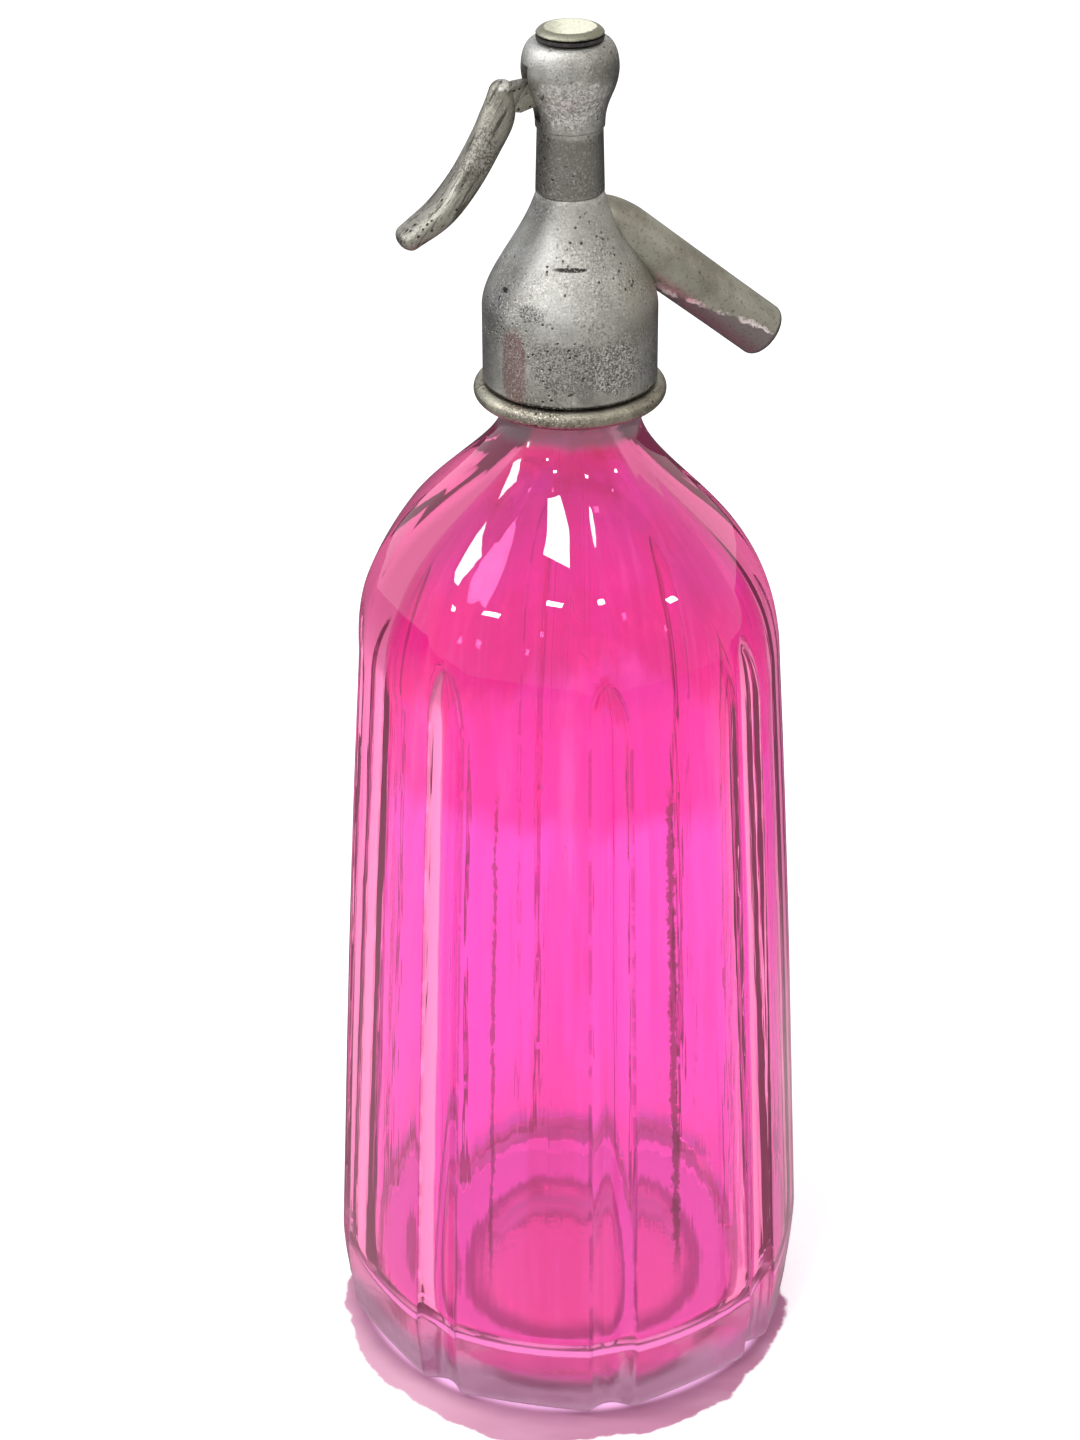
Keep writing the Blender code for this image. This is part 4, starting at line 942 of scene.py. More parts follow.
@dataclass
class Bottle:
    """The fluted bottle, clear outside and stained inside."""

    height: float = 0.2555
    foot_radius: float = 0.0511
    heel_height: float = 0.0060
    heel_radius: float = 0.0549
    belly_height: float = 0.0200
    belly_radius: float = 0.0560
    breast_z: float = 0.1780
    breast_radius: float = 0.0473
    lean: float = -0.0019
    neck_foot: Point = (0.0156, 0.2325)
    neck_radius: float = 0.0143
    bead_z: float = 0.2510
    bead_radius: float = 0.0166
    bead_round: float = 0.0012
    bore_radius: float = 0.0088
    lip_round: float = 0.0012
    neck_z: float = 0.2362
    wall: float = 0.0060
    wall_steps: int = 20
    floor_z: float = 0.0130
    fillet: float = 0.0090
    rest_radius: float = 0.0265
    punt: float = 0.0046
    panels: int = 8
    groove_azimuth: float = math.radians(-80)
    groove_half: float = math.radians(5.5)
    land_angle: float = math.radians(6.0)
    groove_depth: float = 0.0024
    arch_z: float = 0.1760
    arch_height: float = 0.0150
    groove_steps: int = 14
    land_steps: int = 2
    panel_steps: int = 24
    shoulder_handles: tuple[Point, Point] = ((-0.02, 0.56), (0.80, 0.735))
    shoulder_steps: int = 46
    neck_handles: tuple[Point, Point] = ((0.55, 0.30), (0.95, 0.70))
    inner_handles: tuple[Point, Point] = ((0.02, 0.47), (0.90, 0.66))
    heel_shares: tuple[float, ...] = (0.0, 0.03, 0.10, 0.22, 0.38, 0.58, 0.78)
    high_sections: tuple[float, ...] = (0.1650, 0.1680, 0.1710, 0.1735, 0.1760)
    neck_sections: Span = (0.240, 0.245)
    bore_sections: Place = (0.248, 0.242, 0.237)
    disc_share: float = 0.1

    def body_radius(self, z: float) -> float:
        """Corner radius of the body at a height below the breast."""
        if z < self.heel_height:
            swing = math.acos(1 - max(z, 0.0) / self.heel_height)
            return self.foot_radius + (self.heel_radius - self.foot_radius) * math.sin(swing)
        if z < self.belly_height:
            share = (z - self.heel_height) / (self.belly_height - self.heel_height)
            return self.heel_radius + (self.belly_radius - self.heel_radius) * math.sin(share * math.pi / 2)
        share = (z - self.belly_height) / (self.breast_z - self.belly_height)
        return self.belly_radius + (self.breast_radius - self.belly_radius) * (0.86 * share + 0.14 * share**3)

    def reach(self, spot: int, z: float, radius: float, rise: float | None) -> tuple[float, float]:
        """Angle and radius of one of the places around a section.

        Args:
            spot: Number of the place, counted from the first groove's edge.
            z: Height of the section.
            radius: Corner radius of the section.
            rise: Share of the way up the shoulder, or None on the body.

        Returns:
            The angle and the radius.
        """
        index, place = divmod(spot, self.columns())
        climb = min(max((z - self.arch_z) / self.arch_height, 0.0), 1.0)
        arch = math.sqrt(1 - climb**2)
        half = self.groove_half * arch
        width = self.groove_half * max(arch, 0.25)
        flat = 0.70 if rise is None else (0.70 + 0.05 * math.sin(rise * math.pi)) * (1 - rise**4)
        pitch = math.tau / self.panels
        panel_half = pitch / 2 - self.land_angle
        middle = self.groove_azimuth + pitch * index
        stops = (0, self.groove_steps, self.land_steps, self.panel_steps, self.land_steps)
        edges = (-width, width, self.land_angle, pitch - self.land_angle, pitch - width)
        angle = edges[0]
        for start, end, steps in zip(edges, edges[1:], stops[1:]):
            if place <= steps:
                angle = start + (end - start) * place / steps
                break
            place -= steps
        away = min(abs(angle), abs(angle - pitch))
        if away < half:
            return middle + angle, radius - self.groove_depth * arch * math.cos(away / half * math.pi / 2)
        across = abs(angle - pitch / 2)
        if across >= panel_half:
            return middle + angle, radius
        chord = radius * math.cos(panel_half) / math.cos(across)
        return middle + angle, radius + (chord - radius) * flat

    def columns(self) -> int:
        """Places around one groove and one panel."""
        return self.groove_steps + self.panel_steps + 2 * self.land_steps

    def press(self, piece: bpy.types.Object, rings: Sequence[tuple[float, float, float | None]]) -> None:
        """Press panels and flutes into the round sections of the outside.

        Args:
            piece: The bottle, with round sections so far.
            rings: Corner radius, height and share of the way up the shoulder of each section.
        """
        count = self.panels * self.columns()
        start = self.groove_azimuth - self.groove_half
        heights = np.array([z for _, z, _ in rings])
        for vert in piece.data.vertices:
            wide = math.hypot(vert.co.x, vert.co.y)
            radius, z, rise = rings[int(np.abs(heights - vert.co.z).argmin())]
            if abs(z - vert.co.z) > SMALLEST * 10 or wide < radius - SMALLEST * 20:
                continue
            spot = round((math.atan2(vert.co.y, vert.co.x) - start) / math.tau * count) % count
            angle, reach = self.reach(spot, z, radius, rise)
            lean = self.lean * math.sin((rise or 0.0) * math.pi)
            vert.co = (reach * math.cos(angle) + lean, reach * math.sin(angle), z)

    def ease(self, outline: Sequence[Point]) -> list[Point]:
        """Round off the turn from body to shoulder, which pressed glass doesn't keep sharp."""
        heights = np.linspace(outline[0][1], outline[-1][1], 2000)
        radii = np.interp(heights, [z for _, z in outline], [radius for radius, _ in outline])
        eased = []
        for radius, z in outline:
            near = math.exp(-(((z - self.breast_z) / 0.016) ** 4))
            weights = np.exp(-(((heights - z) / 0.0065) ** 2))
            smooth = float((radii * weights).sum() / weights.sum())
            eased.append((radius + (smooth - radius) * near, z))
        return eased

    def grow(self, outline: Sequence[Point], start: Point) -> None:
        """Extrude the selected ring from section to section; works in edit mode.

        Args:
            outline: (radius, z) of each new section.
            start: (radius, z) of the selected ring.
        """
        radius, height = start
        for wide, high in outline:
            move = {"value": (0.0, 0.0, high - height)}
            bpy.ops.mesh.extrude_region_move(TRANSFORM_OT_translate=move)
            spread = wide / radius
            bpy.ops.transform.resize(value=(spread, spread, 1.0), center_override=(0.0, 0.0, high))
            radius, height = wide, high

    def outside(self) -> tuple[list[Point], list[Point]]:
        """Sections of the body, and of the shoulder above it."""
        heights = [self.heel_height * share for share in self.heel_shares]
        heights += [self.heel_height + 0.0014 * step for step in range(11)]
        heights += [0.0220 + 0.0050 * step for step in range(29)]
        heights += [*self.high_sections, self.breast_z]
        body = [(self.body_radius(z), z) for z in heights]
        breast = (self.breast_radius, self.breast_z)
        shoulder = curve(breast, self.neck_foot, self.shoulder_handles, self.shoulder_steps)
        eased = self.ease(body + shoulder)
        return eased[: len(body)], eased[len(body) :]

    def neck(self) -> list[Point]:
        """Sections from the shoulder up the neck, round the bead and over the lip into the mouth."""
        round_in = self.bead_radius - self.bead_round
        mouth_z = self.height - self.lip_round
        points = curve(self.neck_foot, (self.neck_radius, self.neck_z), self.neck_handles, 5)
        points += [(self.neck_radius, z) for z in (*self.neck_sections, self.bead_z)]
        points += arc((round_in, self.bead_z + self.bead_round), self.bead_round, -90, 0, 5)
        points += arc((round_in, self.height - self.bead_round), self.bead_round, 0, 90, 5)
        points += arc((self.bore_radius + self.lip_round, mouth_z), self.lip_round, 90, 180, 5)
        return points

    def inside(self) -> list[Point]:
        """Sections from the mouth down the bore and the wall, and in along the floor."""
        breast = (self.breast_radius - self.wall, self.breast_z - self.wall / 2)
        bore_end = (self.bore_radius, self.neck_foot[1])
        points = [(self.bore_radius, z) for z in (*self.bore_sections, self.neck_foot[1])]
        points += curve(breast, bore_end, self.inner_handles, 30)[-2::-1] + [breast]
        top = self.floor_z + self.fillet
        foot_radius = self.body_radius(top) - self.wall
        widening, drop = foot_radius - breast[0], breast[1] - top
        for step in range(1, self.wall_steps):
            radius = breast[0] + widening * step / self.wall_steps
            points.append((radius, breast[1] - drop * step / self.wall_steps))
        points = self.ease(points[::-1])[::-1]
        floor_radius = foot_radius - self.fillet
        points += arc((floor_radius, top), self.fillet, 0, -90, 14)
        points += [(floor_radius * share, self.floor_z) for share in (0.75, 0.5, 0.25, 0.1)]
        return points

    def start(self) -> bpy.types.Object:
        """A small disc at the top of the punt, its rim selected in edit mode."""
        Bench.select()
        bpy.ops.mesh.primitive_circle_add(
            vertices=self.panels * self.columns(),
            radius=self.rest_radius * self.disc_share,
            fill_type="TRIFAN",
            location=(0.0, 0.0, self.punt),
        )
        piece = Bench.named("glass_bottle")
        Bench.settle(piece, Matrix.Rotation(self.groove_azimuth - self.groove_half, 4, "Z"))
        Bench.edit("DESELECT")
        bpy.ops.mesh.select_non_manifold()
        return piece

    def build(self) -> bpy.types.Object:
        """Draw the glass up from the foot, over the lip and down inside to the floor."""
        body, shoulder = self.outside()
        piece = self.start()
        shares = [0.2 + 0.05 * step for step in range(16)]
        foot = [(self.rest_radius * share, self.punt * (1 - share**3)) for share in shares]
        foot += [(self.rest_radius, 0.0), (self.rest_radius * 1.4, 0.0), (self.foot_radius * 0.97, 0.0)]
        self.grow(foot + body + shoulder, (self.rest_radius * self.disc_share, self.punt))
        bpy.ops.object.mode_set(mode="OBJECT")
        rings = [(radius, z, None) for radius, z in body]
        rings += [(radius, z, (step + 1) / len(shoulder)) for step, (radius, z) in enumerate(shoulder)]
        self.press(piece, rings)
        bpy.ops.object.mode_set(mode="EDIT")
        self.grow(self.neck(), self.neck_foot)
        self.grow(self.inside(), (self.bore_radius, self.height - self.lip_round))
        bpy.ops.mesh.extrude_region_move()
        bpy.ops.mesh.merge(type="CENTER")
        Bench.tidy(60.0)
        return piece

    def dress(self, piece: bpy.types.Object, finishes: Finishes) -> None:
        """Leave the outside clear and stain the inside, all but its floor."""
        glass, stain = finishes.shell, finishes.made[Slot.TINTED_GLASS]
        Bench.dress(piece, (glass, stain), Slot.TINTED_GLASS, Body.SIPHON, "bottle")
        for face in piece.data.polygons:
            middle = face.center
            inward = face.normal.x * middle.x + face.normal.y * middle.y < 0.0
            on_floor = face.normal.z > 0.7 and middle.z < self.breast_z
            face.material_index = 1 if inward and middle.z > self.punt * 2 and not on_floor else 0


# The other pieces


@dataclass
class DipTube(Part):
    """The glass tube that takes the water up from the floor."""

    slot = Slot.CLEAR_GLASS
    node = "dip_tube"
    radius: float = 0.0036
    bore: float = 0.0024
    foot_z: float = 0.0180
    middle_z: float = 0.14
    top_z: float = 0.2547

    def build(self) -> bpy.types.Object:
        """Turn the tube, its foot rounded by the flame."""
        round_radius = (self.radius - self.bore) / 2
        middle = (self.bore + round_radius, self.foot_z + round_radius)
        outline = [(self.bore, z) for z in (self.top_z, self.middle_z, self.foot_z + round_radius)]
        outline += arc(middle, round_radius, 180, 360, 8)
        outline += [(self.radius, z) for z in (self.middle_z, self.top_z)]
        return Bench.turned("dip_tube_glass", outline, 48, closed=True)

    def finish(self, finishes: Finishes) -> bpy.types.Material:
        """Thin clear glass."""
        return finishes.tube


@dataclass
class Collar:
    """The collar in two halves, its rounded flange under the skirt."""

    inner: float = 0.0146
    sleeve: float = 0.0169
    flange: float = 0.0208
    foot_z: float = 0.2386
    flange_z: float = 0.2427
    top_z: float = 0.2487
    split: float = math.radians(12)
    gap: float = 0.0003

    def build(self) -> list[bpy.types.Object]:
        """Turn the ring once, then part it across."""
        half = (self.flange_z - self.foot_z) / 2
        middle = (self.flange - half, self.foot_z + half)
        outline = [(self.inner, self.foot_z + 0.0003), (self.inner + 0.0003, self.foot_z)]
        outline += arc(middle, half, -90, 90, 20)
        outline += [(self.sleeve + 0.0002, self.flange_z), (self.sleeve, self.flange_z + 0.0002)]
        outline += [(self.sleeve, self.top_z), (self.inner, self.top_z)]
        halves = []
        for name, side in (("collar_front", -1.0), ("collar_rear", 1.0)):
            piece = Bench.turned(name, outline, 128, closed=True)
            normal = Vector((-math.sin(self.split), math.cos(self.split), 0.0)) * side
            Bench.edit("SELECT")
            middle_plane = normal * self.gap / 2
            bpy.ops.mesh.bisect(plane_co=middle_plane, plane_no=normal, use_fill=True, clear_inner=True)
            Bench.tidy()
            halves.append(piece)
        return halves

    def dress(self, halves: Sequence[bpy.types.Object], finishes: Finishes) -> None:
        """Give each half the collar's metal."""
        for piece, node in zip(halves, ("collar_half_front", "collar_half_rear")):
            Bench.dress(piece, (finishes.made[Slot.COLLAR],), Slot.COLLAR, Body.SIPHON, node)


@dataclass
class Head(Part):
    """The head casting of worn pewter: skirt, bell, neck and slotted ball."""

    node = "head_body"
    skirt: float = 0.0188
    skirt_bore: float = 0.0172
    skirt_z: float = 0.2430
    bell_z: float = 0.2595
    ceiling_z: float = 0.2613
    neck: float = 0.0073
    neck_z: float = 0.2845
    ball_z: float = 0.2992
    ball: float = 0.0102
    waist_z: float = 0.3113
    crown: float = 0.0079
    top_z: float = 0.3173
    line_depth: float = 0.00035
    line_width: float = 0.0007
    bore: float = 0.0052
    shelf_z: float = 0.2862
    rod_bore: float = 0.0022
    roof_z: float = 0.2850
    channel: float = 0.0046
    slot_width: float = 0.0038
    pivot: Point = (0.0073, 0.3072)
    lever_azimuth: float = math.radians(200)

    def outline(self) -> list[Point]:
        """Outside of the casting, from the skirt's edge up."""
        edge = 0.0005
        points = [(self.skirt - edge, self.skirt_z), (self.skirt - edge * 0.3, self.skirt_z + edge * 0.3)]
        points += [(self.skirt, self.skirt_z + edge), (self.skirt, 0.2500), (self.skirt, self.bell_z)]
        neck_foot = (self.neck, self.neck_z)
        points += curve((self.skirt, self.bell_z), neck_foot, ((0.0, 0.28), (0.74, 0.61)), 28)
        line = self.neck - self.line_depth
        for low in (self.neck_z, self.ball_z - self.line_width):
            points += [(line, low + self.line_width / 2), (self.neck, low + self.line_width)]
        waist = (self.ball, self.waist_z)
        points += curve((self.neck, self.ball_z), waist, ((0.02, 0.50), (0.90, 0.57)), 22)
        points += curve(waist, (self.crown, self.top_z), ((0.0, 0.48), (0.35, 0.88)), 18)
        return points

    def build(self) -> bpy.types.Object:
        """Turn the casting, then cut the lever's slot."""
        inside = [(self.bore, self.top_z), (self.bore, self.shelf_z), (self.rod_bore, self.shelf_z)]
        inside += [(self.rod_bore, self.roof_z), (self.channel, self.roof_z), (self.channel, self.ceiling_z)]
        inside += [(self.skirt_bore, self.ceiling_z), (self.skirt_bore, self.skirt_z)]
        piece = Bench.turned("head_casting", self.outline() + inside, 128, closed=True)
        low = (self.bore - 0.0014, -self.slot_width / 2, self.pivot[1] - 0.0064)
        high = (self.ball + 0.0020, self.slot_width / 2, self.pivot[1] + 0.0058)
        Bench.cut(piece, Bench.block("slot_cutter", low, high, self.lever_azimuth))
        Bench.smooth(piece)
        return piece


@dataclass
class Spout(Part):
    """The spout, which leaves the bell and points down."""

    node = "spout"
    azimuth: float = math.radians(20)
    drop: float = math.radians(39.5)
    crossing_z: float = 0.2840
    root: Point = (0.0041, 0.0070)
    swell: Point = (0.0062, 0.0160)
    radius: float = 0.0060
    length: float = 0.0588
    bore: float = 0.0042
    bore_start: float = 0.0200
    rounding: float = 0.0014

    def build(self) -> bpy.types.Object:
        """Turn the tube, then lean it out of the bell."""
        edge = self.rounding
        lip = 0.0004
        outline = [(0.0, self.root[1]), self.root]
        outline += curve(self.root, self.swell, ((0.40, 0.12), (0.95, 0.55)), 16)
        outline += [(self.radius + 0.0001, 0.030), (self.radius, 0.045)]
        outline += arc((self.radius - edge, self.length - edge), edge, 0, 90, 8)
        outline += arc((self.bore + lip, self.length - lip), lip, 90, 180, 4)
        outline += [(self.bore, self.bore_start), (0.0, self.bore_start - self.bore)]
        piece = Bench.turned("spout_tube", outline, 72)
        turn = Matrix.Rotation(self.azimuth, 4, "Z") @ Matrix.Rotation(math.pi / 2 + self.drop, 4, "Y")
        Bench.settle(piece, Matrix.Translation((0.0, 0.0, self.crossing_z)) @ turn)
        return piece

    def finish(self, finishes: Finishes) -> bpy.types.Material:
        """Olive above and purple-brown below, in the head's slot."""
        return finishes.spout


@dataclass
class Cap(Part):
    """The screw cap on the crown."""

    slot = Slot.CAP
    node = "top_cap"
    radius: float = 0.0071
    top_radius: float = 0.0056
    foot_z: float = 0.3186
    top_z: float = 0.3200
    plug: float = 0.0049
    plug_z: float = 0.3145
    hollow: float = 0.00395
    hollow_z: float = 0.3189

    def build(self) -> bpy.types.Object:
        """Turn the cap, hollow below for the spring."""
        outline = [(0.0, self.hollow_z), (self.hollow, self.hollow_z), (self.hollow, self.plug_z)]
        outline += [(self.plug, self.plug_z), (self.plug, self.foot_z), (self.radius - 0.0002, self.foot_z)]
        outline += [(self.radius, self.foot_z + 0.0002)]
        top = (self.top_radius, self.top_z - 0.0001)
        outline += curve(outline[-1], top, ((0.20, 0.60), (0.70, 0.95)), 10)
        outline += [(self.top_radius - 0.0008, self.top_z), (0.0025, self.top_z), (0.0, self.top_z)]
        return Bench.turned("screw_cap", outline, 72)


@dataclass
class Lever(Part):
    """The thumb lever of dark, rubbed metal: web with a nose, and a curved handle."""

    slot = Slot.LEVER
    body = Body.LEVER
    node = "lever"
    azimuth: float = math.radians(200)
    pivot: Point = (0.0073, 0.3072)
    reach: float = 0.0289
    fall: float = 0.0273
    thickness: float = 0.0074
    width: float = 0.0090
    web: float = 0.0032
    boss: float = 0.0026
    nose: float = 0.0011
    nose_neck: float = 0.0008
    sides: int = 32
    knots: tuple[tuple[float, float, float, float, float], ...] = (
        (0.266, -0.020, 0.74, 0.52, 2.1),
        (0.301, 0.168, 1.00, 0.72, 2.1),
        (0.398, 0.370, 0.90, 0.86, 2.3),
        (0.554, 0.634, 0.79, 0.95, 2.8),
        (0.745, 0.862, 0.69, 1.00, 3.2),
        (0.985, 1.030, 0.60, 0.90, 2.8),
    )

    def stations(self) -> list[tuple[float, ...]]:
        """Smooth stations down the handle: x, z, half thickness, half width and squareness."""
        rows = [
            (x * self.reach, -z * self.fall, thick * self.thickness / 2, wide * self.width / 2, square)
            for x, z, thick, wide, square in self.knots
        ]
        first = tuple(2 * a - b for a, b in zip(rows[0], rows[1]))
        last = tuple(2 * a - b for a, b in zip(rows[-1], rows[-2]))
        padded = [first, *rows, last]
        made = []
        for four in zip(padded, padded[1:], padded[2:], padded[3:]):
            for step in range(9):
                t = step / 9
                pull = [(c - a) / 2 for a, c in zip(four[0], four[2])]
                push = [(d - b) / 2 for b, d in zip(four[1], four[3])]
                weights = (2 * t**3 - 3 * t**2 + 1, t**3 - 2 * t**2 + t, 3 * t**2 - 2 * t**3, t**3 - t**2)
                rows_used = (four[1], pull, four[2], push)
                made.append(tuple(sum(w * row[k] for w, row in zip(weights, rows_used)) for k in range(5)))
        made.append(rows[-1])
        return made

    def section(self, station: Sequence[float], course: Vector, scale: float) -> list[Vector]:
        """One rounded section of the handle, square to its course."""
        x, z, thick, wide, square = station
        across = Vector((-course.z, 0.0, course.x))
        ring = []
        for side in range(self.sides):
            angle = math.tau * side / self.sides
            cosine, sine = math.cos(angle), math.sin(angle)
            size = (abs(cosine) ** square + abs(sine) ** square) ** (-1 / square) * scale
            centre = Vector((x, 0.0, z))
            ring.append(centre + across * (thick * size * cosine) + Vector((0.0, wide * size * sine, 0.0)))
        return ring

    def build(self) -> bpy.types.Object:
        """Skin the handle, cut out the web and join them."""
        stations = self.stations()
        courses = []
        for index in range(len(stations)):
            before, after = stations[max(index - 1, 0)], stations[min(index + 1, len(stations) - 1)]
            courses.append(Vector((after[0] - before[0], 0.0, after[1] - before[1])).normalized())
        ends = (0.25, 0.50, 0.72, 0.88, 0.97)
        sections = [self.end_section(stations[0], courses[0], -share) for share in ends[::-1]]
        sections += [self.section(station, course, 1.0) for station, course in zip(stations, courses)]
        sections += [self.end_section(stations[-1], courses[-1], share) for share in ends]
        handle = Bench.skinned("thumb_lever", sections)
        web = self.cut_web()
        Bench.cut(handle, web, "UNION")
        out = Matrix.Translation((self.pivot[0], 0.0, self.pivot[1]))
        Bench.settle(handle, Matrix.Rotation(self.azimuth, 4, "Z") @ out)
        Bench.smooth(handle, 40.0)
        return handle

    def end_section(self, station: Sequence[float], course: Vector, share: float) -> list[Vector]:
        """A section of the rounded end, a share of the half thickness beyond the last station."""
        beyond = course * (share * station[2])
        moved = (station[0] + beyond.x, station[1] + beyond.z, *station[2:])
        return self.section(moved, course, math.sqrt(1 - share**2))

    def cut_web(self) -> bpy.types.Object:
        """The flat web about the pin, with its nose, from an extruded outline."""
        lean = math.degrees(math.asin(self.nose_neck / self.boss))
        root = self.reach * self.knots[0][0]
        outline = arc((-self.pivot[0], 0.0), self.nose, 45, 315, 12)
        outline += arc((0.0, 0.0), self.boss, 180 + lean, 270, 8)
        outline += [(self.pivot[0] * 0.55, -self.boss * 1.45), (root, -self.boss * 1.20)]
        outline += [(root, self.boss * 0.46), (root - self.boss, self.boss * 0.85)]
        outline += arc((0.0, 0.0), self.boss, 90, 180 - lean, 8)
        Bench.select()
        bpy.ops.mesh.primitive_circle_add(vertices=len(outline), radius=0.001, fill_type="NGON")
        web = Bench.named("lever_web")
        for vert, (x, z) in zip(web.data.vertices, outline):
            vert.co = (x, -self.web / 2, z)
        Bench.edit("SELECT")
        bpy.ops.mesh.extrude_region_move(TRANSFORM_OT_translate={"value": (0.0, self.web, 0.0)})
        Bench.tidy()
        return web


# The studio


@dataclass(frozen=True)
class Lamp:
    """A soft rectangular lamp, aimed at the siphon's shoulder."""

    name: str
    azimuth: float
    climb: float
    size: tuple[float, float]
    glow: float
    distance: float = 1.3
    aim: Place = (0.0, 0.0, 0.21)

    def hang(self) -> None:
        """Hang the lamp, its power set by how bright its face is."""
        data = bpy.data.lights.new(self.name, "AREA")
        data.shape = "RECTANGLE"
        data.size, data.size_y = self.size
        data.energy = self.glow * math.pi * self.size[0] * self.size[1]
        lamp = bpy.data.objects.new(self.name, data)
        bpy.context.scene.collection.objects.link(lamp)
        turn, climb = math.radians(self.azimuth), math.radians(self.climb)
        way = Vector((math.cos(climb) * math.cos(turn), math.cos(climb) * math.sin(turn), math.sin(climb)))
        lamp.location = Vector(self.aim) + way * self.distance
        lamp.rotation_euler = (-way).to_track_quat("-Z", "Y").to_euler()


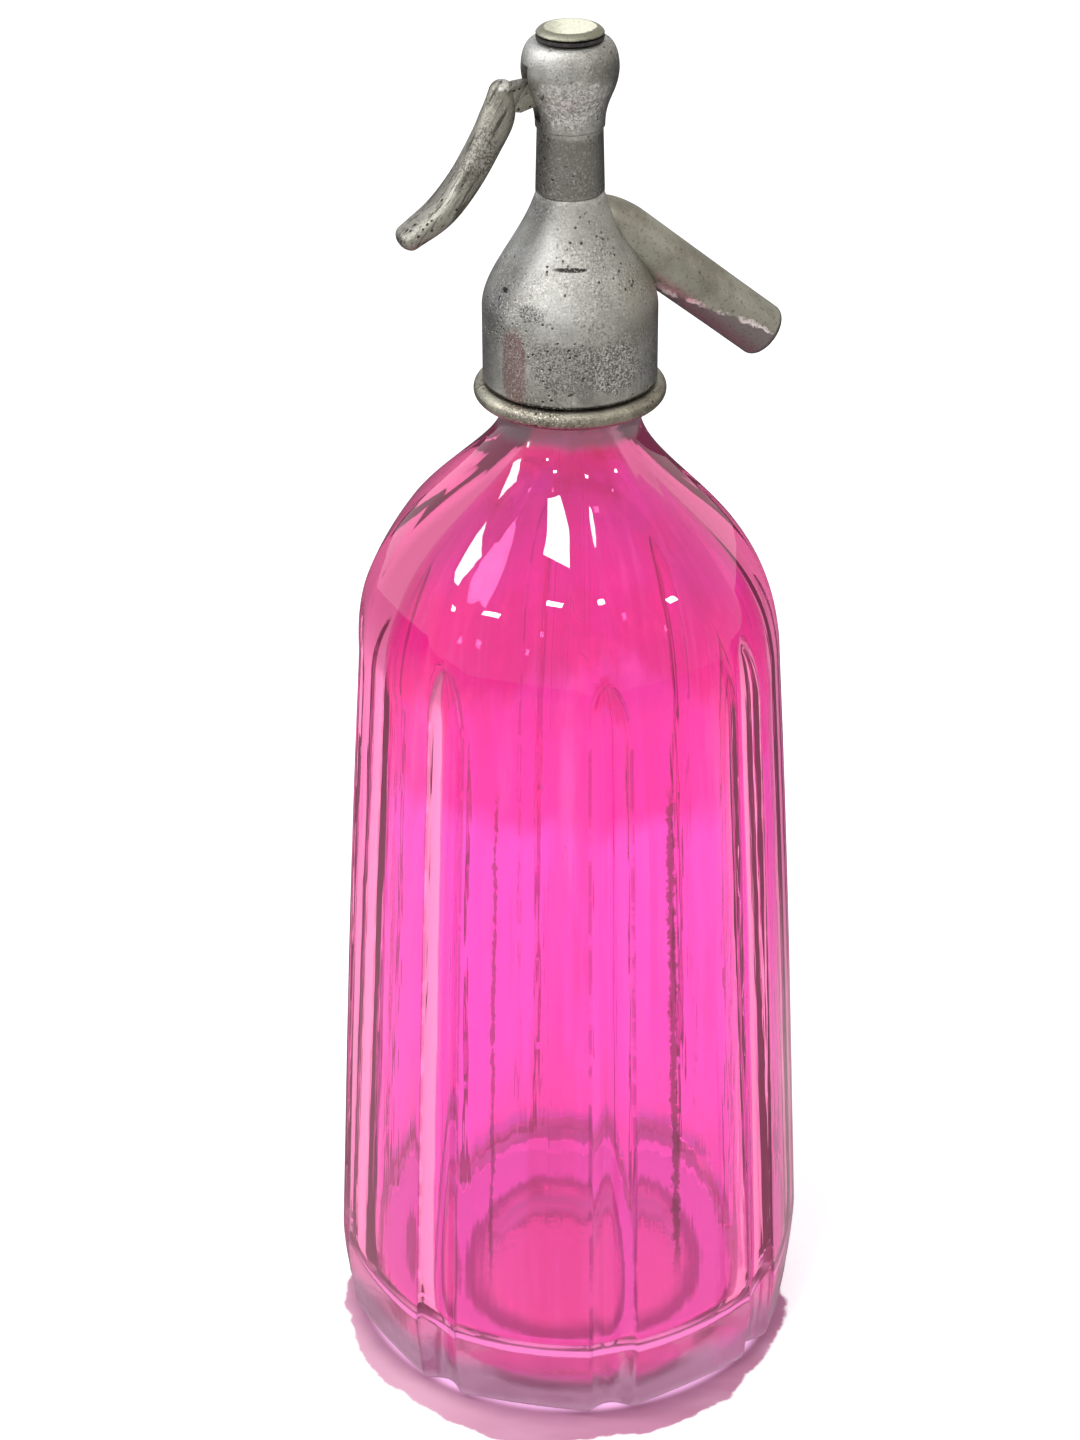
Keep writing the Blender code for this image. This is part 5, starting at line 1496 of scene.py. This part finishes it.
@dataclass
class Studio:
    """Floor, daylight and camera."""

    lamps: tuple[Lamp, ...] = (
        Lamp("window_left", -174.0, 40.0, (0.24, 0.30), 26.0),
        Lamp("ceiling_front", -114.0, 61.0, (0.13, 0.17), 34.0),
        Lamp("ceiling_right", -48.0, 61.0, (0.08, 0.11), 34.0),
        Lamp("spot_far_left", -161.0, 25.0, (0.06, 0.05), 60.0),
        Lamp("spot_left", -123.0, 34.0, (0.07, 0.05), 60.0),
        Lamp("spot_middle", -111.0, 43.0, (0.07, 0.05), 60.0),
        Lamp("spot_right", -60.0, 45.0, (0.07, 0.05), 60.0),
        Lamp("spot_far_right", -20.0, 30.0, (0.05, 0.05), 60.0),
    )

    # painted pink glow under the foot
    painted_glow_under_foot: Colour = (0.95, 0.52, 0.88)
    # painted pink shadow round the foot, darkest where the glass touches the floor
    shadow: Colour = (0.78, 0.46, 0.59)
    deep_shadow: Colour = (0.56, 0.26, 0.39)
    shadow_streak: Colour = (0.74, 0.44, 0.60)
    painted_contact_shadow: Colour = (0.34, 0.14, 0.27)
    floor_glow: Colour = (0.48, 0.48, 0.48)
    shadow_glow: Colour = (0.10, 0.04, 0.06)
    shadow_shift: Point = (0.0012, 0.0085)
    table: Colour = (0.60, 0.585, 0.555)
    table_behind: Colour = (0.07, 0.065, 0.07)
    eye: Place = (-0.0068, -0.6535, 0.5198)
    drop: float = 28.94
    roll: float = -0.27
    lens: float = 82.08

    def place_camera(self) -> None:
        """Stand the camera where the photograph was taken."""
        data = bpy.data.cameras.new("camera")
        data.sensor_fit = "VERTICAL"
        data.sensor_height = 36.0
        data.lens = self.lens
        camera = bpy.data.objects.new("camera", data)
        bpy.context.scene.collection.objects.link(camera)
        tilt = Matrix.Rotation(math.radians(90 - self.drop), 4, "X")
        turn = Matrix.Rotation(math.radians(self.roll), 4, "Z")
        camera.matrix_world = Matrix.Translation(self.eye) @ tilt @ turn
        bpy.context.scene.camera = camera

    def lay_floor(self) -> None:
        """A pale floor that takes the lamps' shadow, with a painted pink shadow round the foot and a painted
        pink glow under it.
        """
        Bench.select()
        bpy.ops.mesh.primitive_plane_add(size=8.0, location=(0.0, 0.0, -0.0001))
        floor = Bench.named("floor")
        Bench.settle(floor)
        paint = Paint("pale_floor", (0.9, 0.9, 0.9))
        across, along, _ = paint.axes()
        ragged = (paint.noise(34.0, 2.0, 0.5) - 0.5) * 0.009 + (paint.noise(150.0, 3.0, 0.6) - 0.5) * 0.0035
        aside = across + self.shadow_shift[0]
        shifted = along + self.shadow_shift[1]
        spread = from_axis(aside, shifted) + ragged
        under = spread.step(0.0546, 0.0534)
        deep = (across * 0.6 - along).step(0.020, 0.062)
        pink = paint.mixed(deep, self.shadow, self.deep_shadow)
        streaks = paint.noise(1.0, 3.0, 0.55, paint.mapped((22.0, 90.0, 1.0)))
        pink = paint.mixed(streaks.step(0.45, 0.70) * 0.5, pink, self.shadow_streak)
        # Painted contact shadow where the glass meets the floor
        away = from_axis(across, along)
        touching = (away + ragged * 0.5).step(0.0580, 0.0515)
        pink = paint.mixed(touching * 0.75, pink, self.painted_contact_shadow)
        inside = away.step(0.0530, 0.0500)
        # Painted pink shadow round the foot
        tone = paint.mixed(under, (0.92, 0.92, 0.92), pink)
        # Painted glow: dimmer in the painted shadow and pink under the foot
        glow = paint.mixed(under, self.floor_glow, self.shadow_glow)
        glow = paint.mixed(inside, glow, self.painted_glow_under_foot)
        glow = paint.mixed(paint.rays("Camera", "Transmission"), (0.0, 0.0, 0.0), glow)
        mirrored = paint.rays("Glossy") - paint.rays("Transmission")
        table = paint.mixed(along.step(0.02, 0.22), self.table, self.table_behind)
        tone = paint.mixed(mirrored.held(), tone, table)
        matt = paint.finish(Base_Color=tone, Roughness=1.0, Specular_IOR_Level=0.0)
        paint.finish(Emission_Color=glow, Emission_Strength=1.0)
        floor.data.materials.append(matt)

    def light(self) -> None:
        """A white backdrop in a dimmer room, and soft lamps above."""
        world = bpy.data.worlds.new("daylight")
        world.use_nodes = True
        bpy.context.scene.world = world
        sky = Recipe(world.node_tree, "Generated")
        across, along, _ = sky.axes()
        through = sky.mixed(along.step(-0.45, 0.15), (0.46, 0.46, 0.47), (1.0, 1.0, 1.0))
        walls = sky.mixed(across.step(-0.8, 0.8), (0.82, 0.83, 0.85), (0.64, 0.62, 0.58))
        tone = sky.mixed(sky.rays("Glossy"), (0.60, 0.61, 0.62), walls)
        tone = sky.mixed(sky.rays("Transmission"), tone, through)
        tone = sky.mixed(sky.rays("Camera"), tone, (1.0, 1.0, 1.0))
        back = world.node_tree.nodes["Background"]
        back.inputs["Strength"].default_value = 1.0
        world.node_tree.links.new(tone.socket, back.inputs["Color"])
        for lamp in self.lamps:
            lamp.hang()

    def set_view(self) -> None:
        """Plain colour management."""
        bpy.context.scene.view_settings.view_transform = "Standard"


def dress_nodes(finishes: Finishes) -> None:
    """Give every CAD node that shows the finish of its slot."""
    for name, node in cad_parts.items():
        for index, current in enumerate(node.data.materials):
            plain = current.name.split(".")[0] if current else ""
            wanted = [slot for slot in Slot if plain.endswith(slot.value)]
            if wanted:
                node.data.materials[index] = finishes.made[wanted[0]]
            else:
                log.warning("%s keeps %s", name, current)


def main() -> None:
    """Build and dress the siphon, then light it."""
    logging.basicConfig(level=logging.INFO, format="%(message)s")
    finishes = Finishes()
    finishes.mix_all()
    dress_nodes(finishes)
    for part in (Bottle(), DipTube(), Collar(), Head(), Spout(), Cap(), Lever()):
        part.dress(part.build(), finishes)
    studio = Studio()
    studio.place_camera()
    studio.lay_floor()
    studio.light()
    studio.set_view()


if __name__ == "__main__":
    main()
